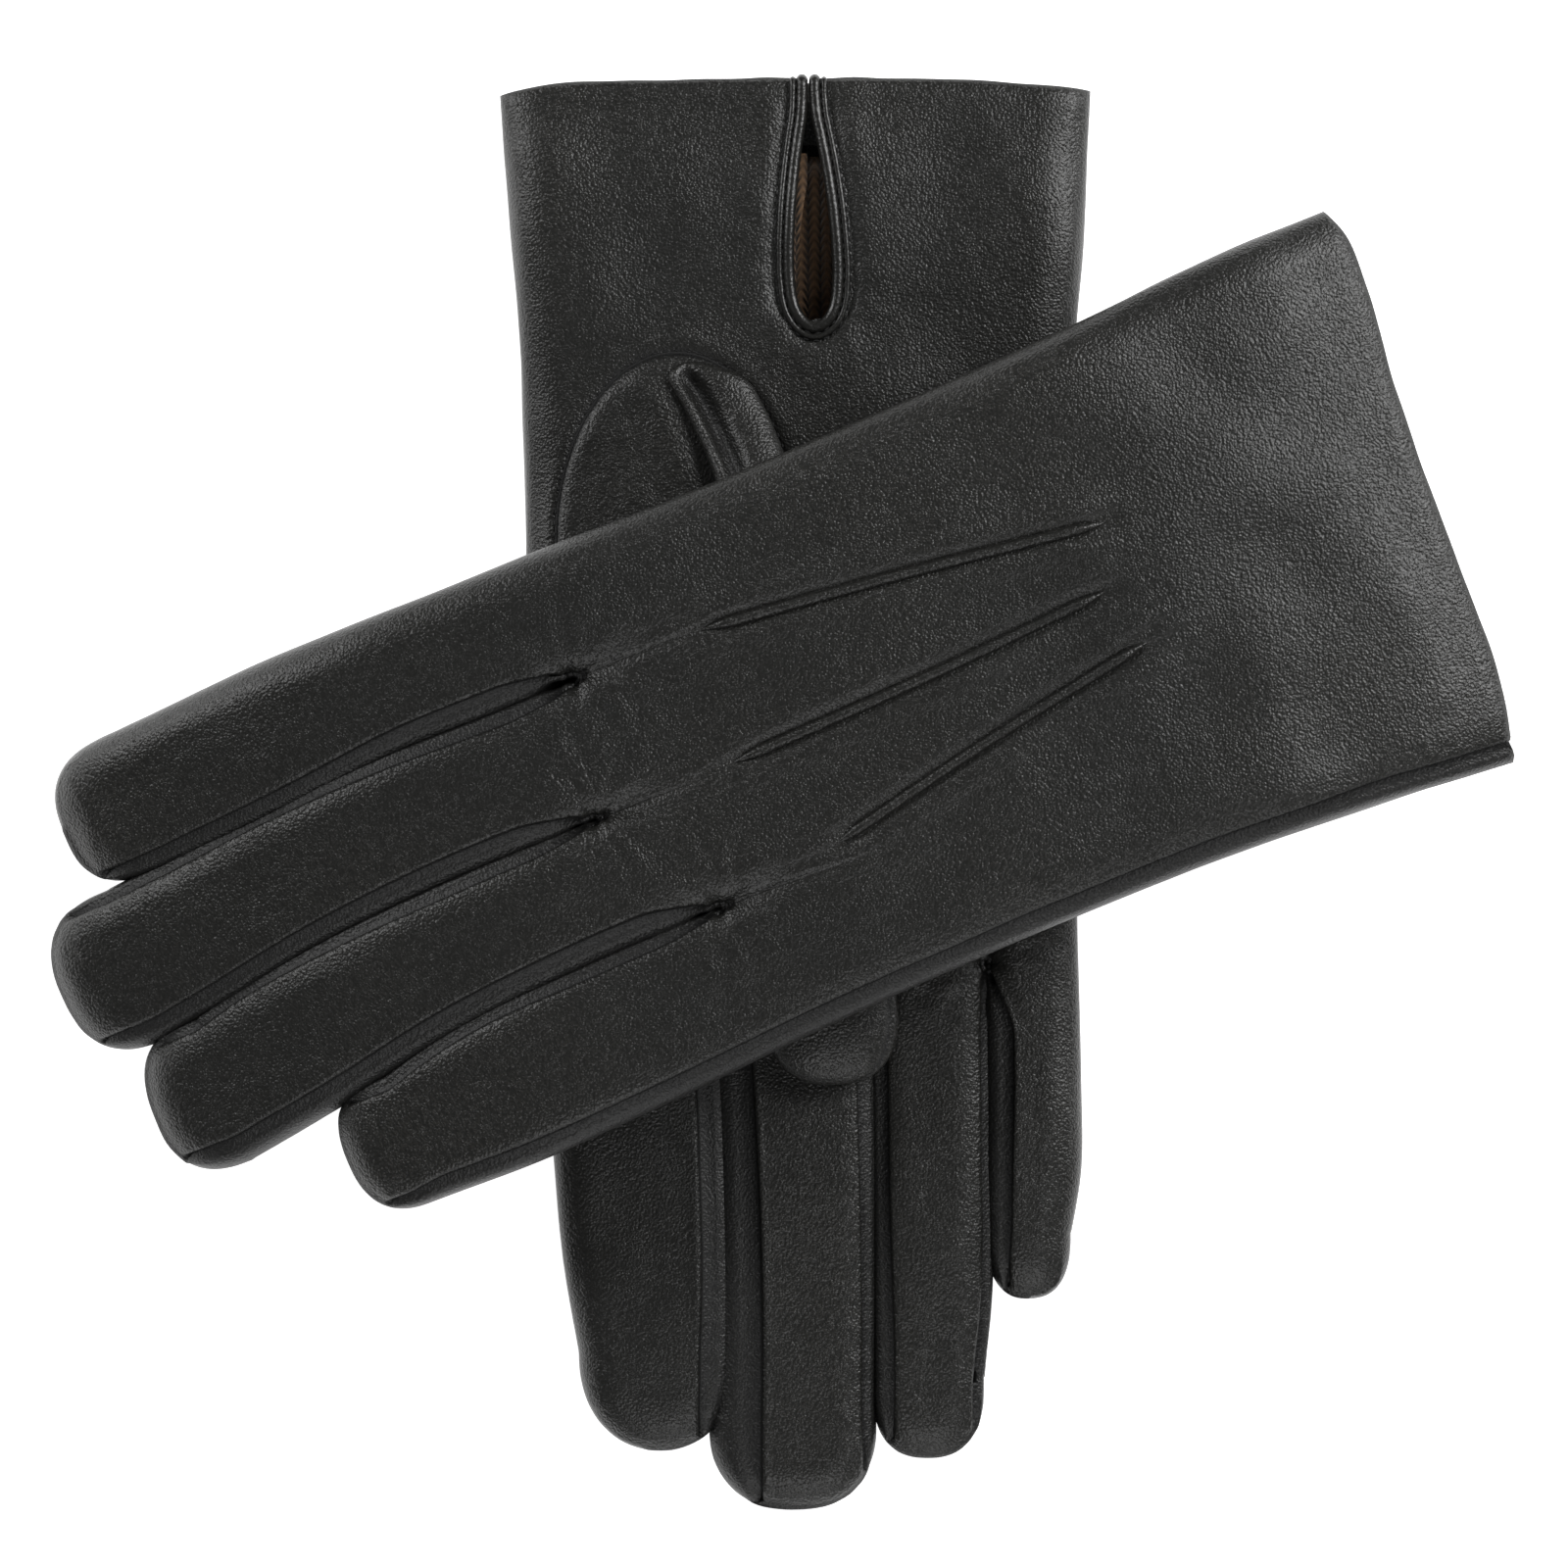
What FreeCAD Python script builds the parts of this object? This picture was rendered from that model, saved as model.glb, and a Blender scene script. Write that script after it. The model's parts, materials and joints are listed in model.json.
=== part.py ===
"""A pair of gentlemen's lined leather dress gloves, one laid across the other.

The right glove lies palm up on the table. The left glove lies on it, back up, turned across it.
Millimetres. The row frame has +Z up and its origin on the table, at the centre of the pair's footprint.
The right glove's fingers point along -Y.

Both gloves are drawn once in a flat pattern frame: u runs from the cuff's edge to the fingertips, v from
the index side to the little finger's side, and w from the back (-) to the palm (+). The left glove is the
mirror image of that pattern in w, which also turns its back upwards.
"""
import FreeCAD
import Part
import math
import os
from FreeCAD import Placement, Rotation, Vector

# ---- layers of the glove
LEATHER = 0.8            # thickness of the hide
LINING = 1.1             # thickness of the knitted lining
LAYER_GAP = 0.1          # air between hide and lining
GLOVE_THICKNESS = 11.0   # a flat glove, outside to outside
RIM_RADIUS = 4.8         # rolled edge of the hand and fingers
THUMB_THICKNESS = 8.5
THUMB_RIM = 3.6
REST_CLEARANCE = 0.3     # between pieces that only lie on each other

# ---- hand outline: half widths at the cuff and wrist, and the knuckle line
CUFF_HALF_WIDTH = 50.5
WRIST_HALF_WIDTH = 47.6
WRIST_START = 34.0       # the taper of the cuff ends here
WRIST_BLEND = 60.0       # radius between the cuff's taper and the straight hand
KNUCKLE_INDEX = 138.0    # where the knuckle line meets the index side
KNUCKLE_LITTLE = 128.0   # and the little finger's side
FINGER_ROOT = 130.0      # the side edges of the fingers are given here and at the tip
STALL_START = 120.0      # and the stalls start this far in, inside the hand
PAST_MOUTH = 20.0        # the pattern runs past the cuff's edge, and is cut there
HAND_SHIFT = {"right": 2.7, "left": 0.0}       # of the hand's middle towards the little finger
CROTCHES = {                                   # index-middle, middle-ring, ring-little
    "right": ((148.0, -13.3), (152.0, 15.1), (148.0, 34.9)),
    "left": ((148.0, -20.0), (151.0, 0.0), (142.0, 23.0)),
}
CROTCH_ROUND = 15.0
KNUCKLE_ROUND = 6.0

# ---- fingers: where each one bends, its tip, and its side edges at FINGER_ROOT and at the tip
FINGERS = ("index", "middle", "ring", "little")
LAY = {
    "right": {
        "index": {"bend": 191.0, "tip": 235.0, "left": (-43.4, -37.6), "right": (-14.0, -10.6)},
        "middle": {"bend": 196.0, "tip": 245.0, "left": (-12.6, -9.6), "right": (14.6, 14.6)},
        "ring": {"bend": 191.0, "tip": 236.3, "left": (15.6, 15.6), "right": (34.4, 35.2)},
        "little": {"bend": 177.0, "tip": 208.6, "left": (35.4, 36.0), "right": (50.0, 51.6)},
    },
    "left": {
        "index": {"bend": 190.0, "tip": 236.0, "left": (-46.9, -45.8), "right": (-24.9, -25.0)},
        "middle": {"bend": 197.0, "tip": 247.5, "left": (-24.2, -20.5), "right": (-2.6, 4.0)},
        "ring": {"bend": 190.0, "tip": 240.5, "left": (-1.9, 6.0), "right": (19.4, 27.0)},
        "little": {"bend": 178.0, "tip": 213.9, "left": (20.1, 30.0), "right": (46.9, 49.5)},
    },
}
TIP_ROUNDNESS = 0.44     # corner radius of a fingertip, as a share of its width
HINGE_GAP = 0.3          # between a stall's two halves at its bend
FINGER_DROOP = {"right": 0.0, "left": 20.0}    # how far the finger ends hang at rest, in degrees
CUFF_DROOP = {"right": 0.0, "left": 3.0}
CUFF_BEND = 43.8         # the cuff hangs from this line

# ---- fourchettes, the strips that make the sides of the fingers
FOURCHETTE_DEPTH = 3.0   # how far they reach in from a finger's edge
FOURCHETTE_TIP = 8.0     # they run out this far before the fingertip

# ---- thumb: an oval let into the palm, and a stall that lies on it
OVAL_CENTRE = (77.0, -18.6)
OVAL_LENGTH, OVAL_WIDTH = 64.0, 41.0
SEAM_WIDTH = 0.5         # the groove that a seam's thread lies in
THREAD_CLEARANCE = 0.05
THUMB_PIVOT = (78.0, -22.0)
THUMB_TIP = (172.0, 8.0)
THUMB_ROOT_WIDTH, THUMB_TIP_WIDTH = 30.0, 22.0
THUMB_MOUTH_RADIUS = 10.0

# ---- vent in the palm side of the cuff
VENT_CENTRE = 4.8
VENT_LENGTH = 40.3
VENT_WIDTH = 7.8
VENT_SLIT = 1.0          # its width where it meets the cuff's edge
VENT_WIDEST = 30.0
VENT_NECK = 9.0
BINDING_WIDTH = 2.2
BINDING_PROUD = 0.4
STITCH_ROWS = (0.8, 2.5)     # distance of the two rows from the binding
STITCH_WIDTH = 0.4
STITCH_HEIGHT = 0.25
STITCH_MARGIN = 1.0          # the rows stop this short of the cuff's edge

# ---- cuff facing, points and side seam
FACING_DEPTH = 13.0
FACING_TO_LINING = 0.2
POINTS = (((52.0, -13.7), (125.4, -23.7)), ((57.0, -3.3), (128.6, -0.8)), ((53.0, 7.2), (117.0, 18.7)))
POINT_WIDTH = 1.6
POINT_PROUD = {"right": 0.0, "left": 0.7}      # the right glove lies on its points and presses them flat
SIDE_SEAM = ((-1.0, 42.0), (50.0, 41.0), (100.0, 40.5), (140.0, 42.0), (176.0, 43.3))

# ---- how the two gloves lie
RIGHT_ORIGIN = (-0.5, 122.5)     # the middle of each cuff's edge, in the row frame
LEFT_ORIGIN = (106.7, 53.3)
HEADING = {"right": -90.0, "left": 202.5}      # direction of the fingers, degrees from +X

# ---- worked out from the values above
HALF = GLOVE_THICKNESS / 2
LINING_OUT = LEATHER + LAYER_GAP
LINING_IN = LINING_OUT + LINING
FACING_IN = LINING_OUT + LEATHER
THUMB_MIDDLE = HALF + REST_CLEARANCE + THUMB_THICKNESS / 2
STACK = GLOVE_THICKNESS + 3 * REST_CLEARANCE + 2 * THUMB_THICKNESS
ORIGIN = {"right": RIGHT_ORIGIN + (HALF,), "left": LEFT_ORIGIN + (STACK + HALF,)}
FAR = 400.0
CRUMB = 0.01             # cubic millimetres: a cut that grazes an edge leaves chips smaller than this
LATERAL = Vector(0, 1, 0)
UP = Vector(0, 0, 1)


# ------------------------------------------------------------------ plane shapes
def rounded_wire(points):
    """A closed wire of straight runs joined by tangent arcs, through corners (u, v, radius)."""
    corners = []
    n = len(points)
    for i, (u, v, radius) in enumerate(points):
        here = Vector(u, v, 0)
        back = (Vector(*points[i - 1][:2], 0) - here).normalize()
        ahead = (Vector(*points[(i + 1) % n][:2], 0) - here).normalize()
        half_angle = back.getAngle(ahead) / 2
        if radius <= 0 or abs(half_angle - math.pi / 2) < 1e-4:
            corners.append((here, here, here))
            continue
        reach = radius / math.tan(half_angle)
        inward = (back + ahead).normalize()
        middle = here + inward * (radius / math.sin(half_angle) - radius)
        corners.append((here + back * reach, middle, here + ahead * reach))
    edges = []
    for i, (start, middle, end) in enumerate(corners):
        if start.distanceToPoint(end) > 1e-6:
            edges.append(Part.Arc(start, middle, end).toShape())
        edges.append(Part.LineSegment(end, corners[(i + 1) % n][0]).toShape())
    return Part.Wire(edges)


def plate(points, low, high, grow=0.0):
    """The outline through points, grown by an offset, as a prism from w = low to w = high."""
    face = Part.Face(rounded_wire(points))
    if grow:
        face = face.makeOffset2D(grow)
    face.translate(Vector(0, 0, low))
    return face.extrude(Vector(0, 0, high - low))


def oval(low, high, grow=0.0):
    ring = Part.Ellipse(Vector(*OVAL_CENTRE, low), OVAL_LENGTH / 2 + grow, OVAL_WIDTH / 2 + grow)
    return Part.Face(Part.Wire(ring.toShape())).extrude(Vector(0, 0, high - low))


def band(line, width, low, high):
    """A ribbon of the given width that follows a line of (u, v) points."""
    left = [(u, v - width / 2, 0) for u, v in line]
    right = [(u, v + width / 2, 0) for u, v in reversed(line)]
    return plate(left + right, low, high)


def bar(start, end, width, low, high):
    """A straight bar with round ends, in plan."""
    a, b = Vector(*start, 0), Vector(*end, 0)
    along = (b - a).normalize()
    side = Vector(-along.y, along.x, 0) * (width / 2)
    corners = [a + side, a - side, b - side, b + side]
    return plate([(p.x, p.y, width * 0.49) for p in corners], low, high)


def block(u_low, u_high, v_low=-FAR, v_high=FAR, w_low=-FAR, w_high=FAR):
    return Part.makeBox(u_high - u_low, v_high - v_low, w_high - w_low, Vector(u_low, v_low, w_low))


def soft_slab(points, inset, thickness, rim):
    """A pillow-edged slab: the outline moved in by inset, with its top and bottom rims rounded."""
    face = Part.Face(rounded_wire(points))
    if inset:
        face = face.makeOffset2D(-inset)
    high = thickness / 2 - inset
    face.translate(Vector(0, 0, -high))
    solid = face.extrude(Vector(0, 0, 2 * high))
    rims = [e for e in solid.Edges if abs(abs(e.BoundBox.ZMin) - high) < 1e-6 and e.BoundBox.ZLength < 1e-6]
    return solid.makeFillet(rim - inset, rims)


def turned(shape, centre, axis, angle):
    """A copy of shape, turned about an axis through centre."""
    copy = shape.copy()
    copy.rotate(centre, axis, angle)
    return copy


# ------------------------------------------------------------------ fingers
def edge_at(finger, side, u):
    """v of a finger's straight side edge at u."""
    at_root, at_tip = finger[side]
    return at_root + (at_tip - at_root) * (u - FINGER_ROOT) / (finger["tip"] - FINGER_ROOT)


def finger_frame(finger):
    """The point of a finger's centreline at its bend, on the palm's surface, and the line's heading."""
    middle = {u: (edge_at(finger, "left", u) + edge_at(finger, "right", u)) / 2
              for u in (FINGER_ROOT, finger["bend"], finger["tip"])}
    heading = math.degrees(math.atan2(middle[finger["tip"]] - middle[FINGER_ROOT],
                                      finger["tip"] - FINGER_ROOT))
    return Vector(finger["bend"], middle[finger["bend"]], HALF), heading


def finger_slab(finger, inset):
    width = finger["right"][1] - finger["left"][1]
    radius = width * TIP_ROUNDNESS
    start = STALL_START
    points = [(start, edge_at(finger, "left", start), 0), (start, edge_at(finger, "right", start), 0),
              (finger["tip"], finger["right"][1], radius), (finger["tip"], finger["left"][1], radius)]
    return soft_slab(points, inset, GLOVE_THICKNESS, RIM_RADIUS)


def past_bend(finger, sign):
    """The half space beyond (+1) or before (-1) a finger's bend, less half the hinge gap."""
    bend, heading = finger_frame(finger)
    half = block(HINGE_GAP / 2, FAR) if sign > 0 else block(-FAR, -HINGE_GAP / 2)
    half.Placement = Placement(bend, Rotation(UP, heading))
    return half


def side_strip(finger, side, start, end):
    """The prism that holds a fourchette's wall along one side edge of a finger."""
    out = 1.0 if side == "right" else -1.0
    line = [(start, edge_at(finger, side, start) + out), (start, edge_at(finger, side, start) - out * FOURCHETTE_DEPTH),
            (end, edge_at(finger, side, end) - out * FOURCHETTE_DEPTH),
            (end + FOURCHETTE_DEPTH, edge_at(finger, side, end) + out)]
    return plate([(u, v, 0) for u, v in line], -GLOVE_THICKNESS, GLOVE_THICKNESS)


def crotch_strip(near, far, crotch):
    """The prism that holds the forked fourchette between two neighbouring fingers."""
    root = crotch[0] - FOURCHETTE_DEPTH
    ends = [f["bend"] + FOURCHETTE_DEPTH for f in (near, far)]
    line = [(ends[0], edge_at(near, "right", ends[0]) - FOURCHETTE_DEPTH),
            (root, edge_at(near, "right", root) - FOURCHETTE_DEPTH),
            (root, edge_at(far, "left", root) + FOURCHETTE_DEPTH),
            (ends[1], edge_at(far, "left", ends[1]) + FOURCHETTE_DEPTH)]
    return plate([(u, v, 0) for u, v in line], -GLOVE_THICKNESS, GLOVE_THICKNESS)


def finger_end(lay, name):
    """Leather, fourchettes and lining of one finger beyond its bend, still flat."""
    finger = lay[name]
    beyond = past_bend(finger, 1)
    hide = finger_slab(finger, 0).cut(finger_slab(finger, LEATHER)).common(beyond)
    knit = finger_slab(finger, LINING_OUT).cut(finger_slab(finger, LINING_IN)).common(beyond)
    walls = []
    for side in ("left", "right"):
        if (name, side) in (("index", "left"), ("little", "right")):
            continue    # the hide wraps round here with no fourchette
        strip = side_strip(finger, side, finger["bend"] - FOURCHETTE_DEPTH, finger["tip"] - FOURCHETTE_TIP)
        walls.append(hide.common(strip))
        hide = hide.cut(strip)
    return {"tip": hide, "tip_fourchettes": Part.makeCompound(walls), "tip_lining": knit}


# ------------------------------------------------------------------ hand
def hand_outline(side):
    cuff = CUFF_HALF_WIDTH + (CUFF_HALF_WIDTH - WRIST_HALF_WIDTH) * PAST_MOUTH / WRIST_START
    index_side = [(-PAST_MOUTH, -cuff, 0), (WRIST_START, -WRIST_HALF_WIDTH, WRIST_BLEND),
                  (KNUCKLE_INDEX, -WRIST_HALF_WIDTH, KNUCKLE_ROUND)]
    shift = HAND_SHIFT[side]
    knuckles = [(u, v - shift, CROTCH_ROUND) for u, v in CROTCHES[side]]
    little_side = [(KNUCKLE_LITTLE, WRIST_HALF_WIDTH, KNUCKLE_ROUND),
                   (WRIST_START, WRIST_HALF_WIDTH, WRIST_BLEND), (-PAST_MOUTH, cuff, 0)]
    return [(u, v + shift, radius) for u, v, radius in index_side + knuckles + little_side]


def hand_body(side, inset):
    """The closed outer shape of the hand and of the fingers up to their bends, moved in by inset."""
    lay = LAY[side]
    body = soft_slab(hand_outline(side), inset, GLOVE_THICKNESS, RIM_RADIUS)
    stalls = [finger_slab(lay[name], inset).common(past_bend(lay[name], -1)) for name in FINGERS]
    return body.fuse(stalls)


def vent_outline():
    slit, wide, c = VENT_SLIT / 2, VENT_WIDTH / 2, VENT_CENTRE
    return [(-PAST_MOUTH, c - slit, 0), (VENT_NECK, c - slit, 20), (VENT_WIDEST, c - wide, 8), (VENT_LENGTH, c, 1.5),
            (VENT_WIDEST, c + wide, 8), (VENT_NECK, c + slit, 20), (-PAST_MOUTH, c + slit, 0)]


def hand_parts(side):
    """Everything that moves with the hand, still flat."""
    lay = LAY[side]
    outer, hide_in, knit_out, knit_in = (hand_body(side, d) for d in (0, LEATHER, LINING_OUT, LINING_IN))
    facing_in = soft_slab(hand_outline(side), FACING_IN, GLOVE_THICKNESS, RIM_RADIUS)
    inside = block(0, FAR)
    through_palm = (0.0, GLOVE_THICKNESS)
    through_back = (-GLOVE_THICKNESS, 0.0)
    binding_hole = plate(vent_outline(), *through_palm, grow=BINDING_WIDTH + THREAD_CLEARANCE)

    trank = outer.cut(hide_in).common(inside).cut(binding_hole).cut(oval(*through_palm, grow=SEAM_WIDTH))
    trank = trank.cut(band(SIDE_SEAM, SEAM_WIDTH, *through_back))
    for start, end in POINTS:
        trank = trank.cut(bar(start, end, POINT_WIDTH + 2 * THREAD_CLEARANCE, *through_back))
    parts = {}
    for n, (near, far) in enumerate(zip(FINGERS, FINGERS[1:])):
        strip = crotch_strip(lay[near], lay[far], CROTCHES[side][n])
        parts["fourchette_%s_%s" % (near, far)] = trank.common(strip)
        trank = trank.cut(strip)
    parts["trank"] = trank

    mouth = Part.makeCylinder(THUMB_MOUTH_RADIUS, GLOVE_THICKNESS, Vector(*THUMB_PIVOT, 0))
    lined = block(FACING_DEPTH + FACING_TO_LINING, FAR)
    parts["hand_lining"] = knit_out.cut(knit_in).common(lined).cut(binding_hole).cut(mouth)
    facing = knit_out.cut(facing_in).common(block(FACING_TO_LINING, FACING_DEPTH))
    parts["cuff_facing"] = facing.cut(binding_hole)
    parts["thumb_base"] = oval(HALF - LEATHER, HALF).cut(mouth)

    binding = plate(vent_outline(), HALF - LINING_IN, HALF + BINDING_PROUD, grow=BINDING_WIDTH)
    parts["vent_binding"] = binding.cut(plate(vent_outline(), *through_palm)).common(block(FACING_TO_LINING, FAR))
    rows = []
    for distance in STITCH_ROWS:
        low = BINDING_WIDTH + distance
        row = plate(vent_outline(), HALF, HALF + STITCH_HEIGHT, grow=low + STITCH_WIDTH)
        row = row.cut(plate(vent_outline(), *through_palm, grow=low))
        rows.append(row.common(block(STITCH_MARGIN, FAR)))
    parts["vent_stitches"] = Part.makeCompound(rows)

    depth = HALF - LEATHER
    proud = HALF + POINT_PROUD[side]
    parts["back_points"] = Part.makeCompound([bar(a, b, POINT_WIDTH, -proud, -depth) for a, b in POINTS])
    thread = SEAM_WIDTH - 2 * THREAD_CLEARANCE
    parts["side_seam_thread"] = band(SIDE_SEAM, thread, -HALF + THREAD_CLEARANCE, -depth).common(inside)
    ring = oval(depth, HALF - THREAD_CLEARANCE, grow=SEAM_WIDTH - THREAD_CLEARANCE)
    parts["thumb_seam_thread"] = ring.cut(oval(0, GLOVE_THICKNESS, grow=THREAD_CLEARANCE))
    return parts


def thumb_parts():
    """The thumb's stall and its lining, lying on the palm, open below at the pivot."""
    root, tip = Vector(*THUMB_PIVOT, 0), Vector(*THUMB_TIP, 0)
    along = (tip - root).normalize()
    across = Vector(-along.y, along.x, 0)
    heel = root - along * (THUMB_ROOT_WIDTH / 2)
    corners = []
    for point, width, sign in ((heel, THUMB_ROOT_WIDTH, 1), (heel, THUMB_ROOT_WIDTH, -1),
                               (tip, THUMB_TIP_WIDTH, -1), (tip, THUMB_TIP_WIDTH, 1)):
        at = point + across * (sign * width / 2)
        corners.append((at.x, at.y, width * 0.47))
    slabs = [soft_slab(corners, d, THUMB_THICKNESS, THUMB_RIM) for d in (0, LEATHER, LINING_OUT, LINING_IN)]
    mouth = Part.makeCylinder(THUMB_MOUTH_RADIUS, THUMB_THICKNESS, root - Vector(0, 0, THUMB_THICKNESS))
    parts = {"thumb": slabs[0].cut(slabs[1]).cut(mouth), "thumb_lining": slabs[2].cut(slabs[3]).cut(mouth)}
    for shape in parts.values():
        shape.translate(Vector(0, 0, THUMB_MIDDLE))
    return parts


# ------------------------------------------------------------------ laying the gloves
def droop_cuff(shape, angle):
    """Lets the cuff hang towards the palm's side from CUFF_BEND, with a mitre at the bend."""
    if not angle or shape.BoundBox.XMin > CUFF_BEND:
        return shape
    fold = Vector(CUFF_BEND, 0, 0)
    hung = turned(shape, fold, LATERAL, angle)
    if shape.BoundBox.XMax < CUFF_BEND:
        return hung
    before = turned(block(-FAR, CUFF_BEND), fold, LATERAL, angle / 2)
    after = turned(block(CUFF_BEND, FAR), fold, LATERAL, angle / 2)
    return hung.common(before).fuse(shape.common(after)).removeSplitter()


def laid(shape, side):
    """Puts a shape from the pattern frame into the row frame."""
    if side == "left":
        shape = shape.mirror(Vector(0, 0, 0), UP)
    place = Placement(Vector(*ORIGIN[side]), Rotation(UP, HEADING[side]))
    copy = shape.copy()
    copy.Placement = place.multiply(copy.Placement)
    return copy


def glove(side):
    """All the named pieces of one glove, laid in the row frame."""
    parts = {name: droop_cuff(shape, CUFF_DROOP[side]) for name, shape in hand_parts(side).items()}
    parts.update(thumb_parts())
    for name in FINGERS:
        bend, heading = finger_frame(LAY[side][name])
        axis = Rotation(UP, heading).multVec(LATERAL)
        for piece, shape in finger_end(LAY[side], name).items():
            parts["%s_%s" % (name, piece)] = turned(shape, bend, axis, -FINGER_DROOP[side])
    return {"%s_%s" % (side, name): laid(shape, side) for name, shape in parts.items()}


def solids_only(shape):
    """The piece as one solid, or as a group of its solids, without the chips that a grazing cut leaves."""
    solids = [solid for solid in shape.Solids if solid.Volume > CRUMB]
    return solids[0] if len(solids) == 1 else Part.makeCompound(solids)


def main():
    os.makedirs("parts", exist_ok=True)
    for side in ("right", "left"):
        for name, shape in glove(side).items():
            piece = solids_only(shape)
            piece.exportStep("parts/%s.step" % name)
            print("%-34s %2d solids %9.1f mm3 valid %s" % (name, len(piece.Solids), piece.Volume, piece.isValid()))


main()
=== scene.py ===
# %% [markdown]
# # A pair of lined leather dress gloves
# The right glove lies palm up on the table and the left glove lies across it, back up.
# A real glove is cut from flat hide: one piece, the trank, is wrapped round the hand, forked strips
# called fourchettes make the sides of the fingers, and the thumb is let into an arch in the palm.
# This file follows the same idea. A flat blank is cut with slits between the fingers, given depth,
# and then shaped, so that every seam is a real line of the mesh.

# %% Load the frame
import json
import math
import bmesh
import bpy
import numpy as np
from mathutils import Matrix, Vector, noise


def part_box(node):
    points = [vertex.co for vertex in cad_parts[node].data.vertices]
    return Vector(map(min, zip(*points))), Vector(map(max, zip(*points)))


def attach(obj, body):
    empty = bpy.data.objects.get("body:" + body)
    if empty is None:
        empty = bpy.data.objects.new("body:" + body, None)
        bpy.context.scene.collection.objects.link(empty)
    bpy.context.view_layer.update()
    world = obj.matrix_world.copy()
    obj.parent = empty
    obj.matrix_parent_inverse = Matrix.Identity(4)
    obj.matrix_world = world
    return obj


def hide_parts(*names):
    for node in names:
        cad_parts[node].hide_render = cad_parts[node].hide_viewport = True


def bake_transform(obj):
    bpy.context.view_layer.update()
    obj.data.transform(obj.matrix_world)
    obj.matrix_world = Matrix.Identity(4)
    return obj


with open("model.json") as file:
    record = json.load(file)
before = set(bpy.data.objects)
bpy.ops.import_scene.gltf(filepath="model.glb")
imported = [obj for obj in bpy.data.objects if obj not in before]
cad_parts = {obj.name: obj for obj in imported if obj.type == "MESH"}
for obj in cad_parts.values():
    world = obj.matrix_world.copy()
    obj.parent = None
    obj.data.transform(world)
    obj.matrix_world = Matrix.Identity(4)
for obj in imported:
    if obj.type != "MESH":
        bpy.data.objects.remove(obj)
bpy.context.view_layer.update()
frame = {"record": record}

MM = 0.001
SIDES = ("right", "left")
FINGERS = ("index", "middle", "ring", "little")

# %% [markdown]
# ## Where each glove lies
# Both gloves are described in one flat pattern: u runs from the cuff to the fingertips, v from the
# index side to the little finger's side, and w from the back to the palm. All three are in
# millimetres. The cuffs' middles and the heights come from the frame, so the pattern lands on the
# CAD model with no fitting. The left glove is the pattern turned over: its palm looks down.

# %% Place a pattern point
record = frame["record"]
MOUTHS = {m["name"]: m for m in record["mounts"]}
HAND_MIDDLE = {"right": 2.7, "left": 0.0}      # v of the middle of the cuff
FACE = {"right": 1.0, "left": -1.0}            # +1 where the palm looks up
THICK = 5.5                                    # half the thickness of a flat glove


def glove_frame(side):
    """The origin, the finger direction and the v direction of one glove, in metres."""
    mouth = MOUTHS[side + "_cuff_mouth"]
    along = -Vector(mouth["axis"]).normalized()
    across = Vector((-along.y, along.x, 0))
    origin = Vector(mouth["pos_m"]) - across * HAND_MIDDLE[side] * MM
    origin.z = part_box(side + "_trank")[1][2] - THICK * MM
    return origin, along, across


GLOVES = {side: glove_frame(side) for side in SIDES}


def lay(side, u, v, w):
    """Row positions, as an array of points in metres, of pattern points in millimetres."""
    origin, along, across = GLOVES[side]
    u, v, w = (np.asarray(a, float) for a in (u, v, w))
    points = np.zeros(u.shape + (3,))
    for k in range(3):
        points[..., k] = origin[k] + (u * along[k] + v * across[k]) * MM
    points[..., 2] += (FACE[side] * w - hang(side, u)) * MM
    return points


FLAT_FROM, FLAT_TO = 58.0, 160.0               # u between which the upper glove lies flat
CUFF_SAG, FINGER_SAG = 0.0016, 0.0047          # millimetres for each square millimetre beyond
SAG_EASES = 150.0                              # the sag of the fingers slows down over this length


def hang(side, u):
    """How far the upper glove's ends sag below its flat middle, in millimetres."""
    if side == "right":
        return np.zeros(u.shape)
    fingers = np.clip(u - FLAT_TO, 0, None)
    cuff = np.clip(FLAT_FROM - u, 0, None)
    return FINGER_SAG * fingers ** 2 / (1 + fingers / SAG_EASES) + CUFF_SAG * cuff ** 2


for side in SIDES:
    print(side, "glove starts at", [round(c, 4) for c in GLOVES[side][0]])

# %% [markdown]
# ## The outline of each glove
# Each finger has a left and a right edge, a tip, and seams that run a little way in from its edges.
# A few points are enough, because a smooth curve goes through them. The inset of a seam says how
# much of the fourchette shows beside the panel.

# %% Fingers of both gloves
CROTCH = {"right": ((148.0, -13.3), (152.0, 15.1), (149.0, 34.9)),
          "left": ((143.5, -24.6), (149.0, -1.3), (135.5, 20.4))}
HAND_EDGE = {
    "right": (((0, -49.3), (17, -47.9), (34, -46.4), (60, -45.2), (100, -44.6), (130, -43.8)),
              ((0, 53.2), (17, 52.4), (38, 51.0), (80, 50.3), (110, 50.3), (130, 50.6))),
    "left": (((0, -49.5), (24, -49.2), (43, -47.6), (70, -46.8), (100, -46.4), (125, -46.6)),
             ((0, 49.3), (14, 48.0), (40, 46.0), (80, 44.9), (110, 45.3), (130, 46.0))),
}
SEAM = (1.2, 3.0, 3.0)               # the usual inset of a seam: at the fork, then further up twice
RIM = (2.5, 2.5, 2.5)                # and of an edge with no seam
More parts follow.
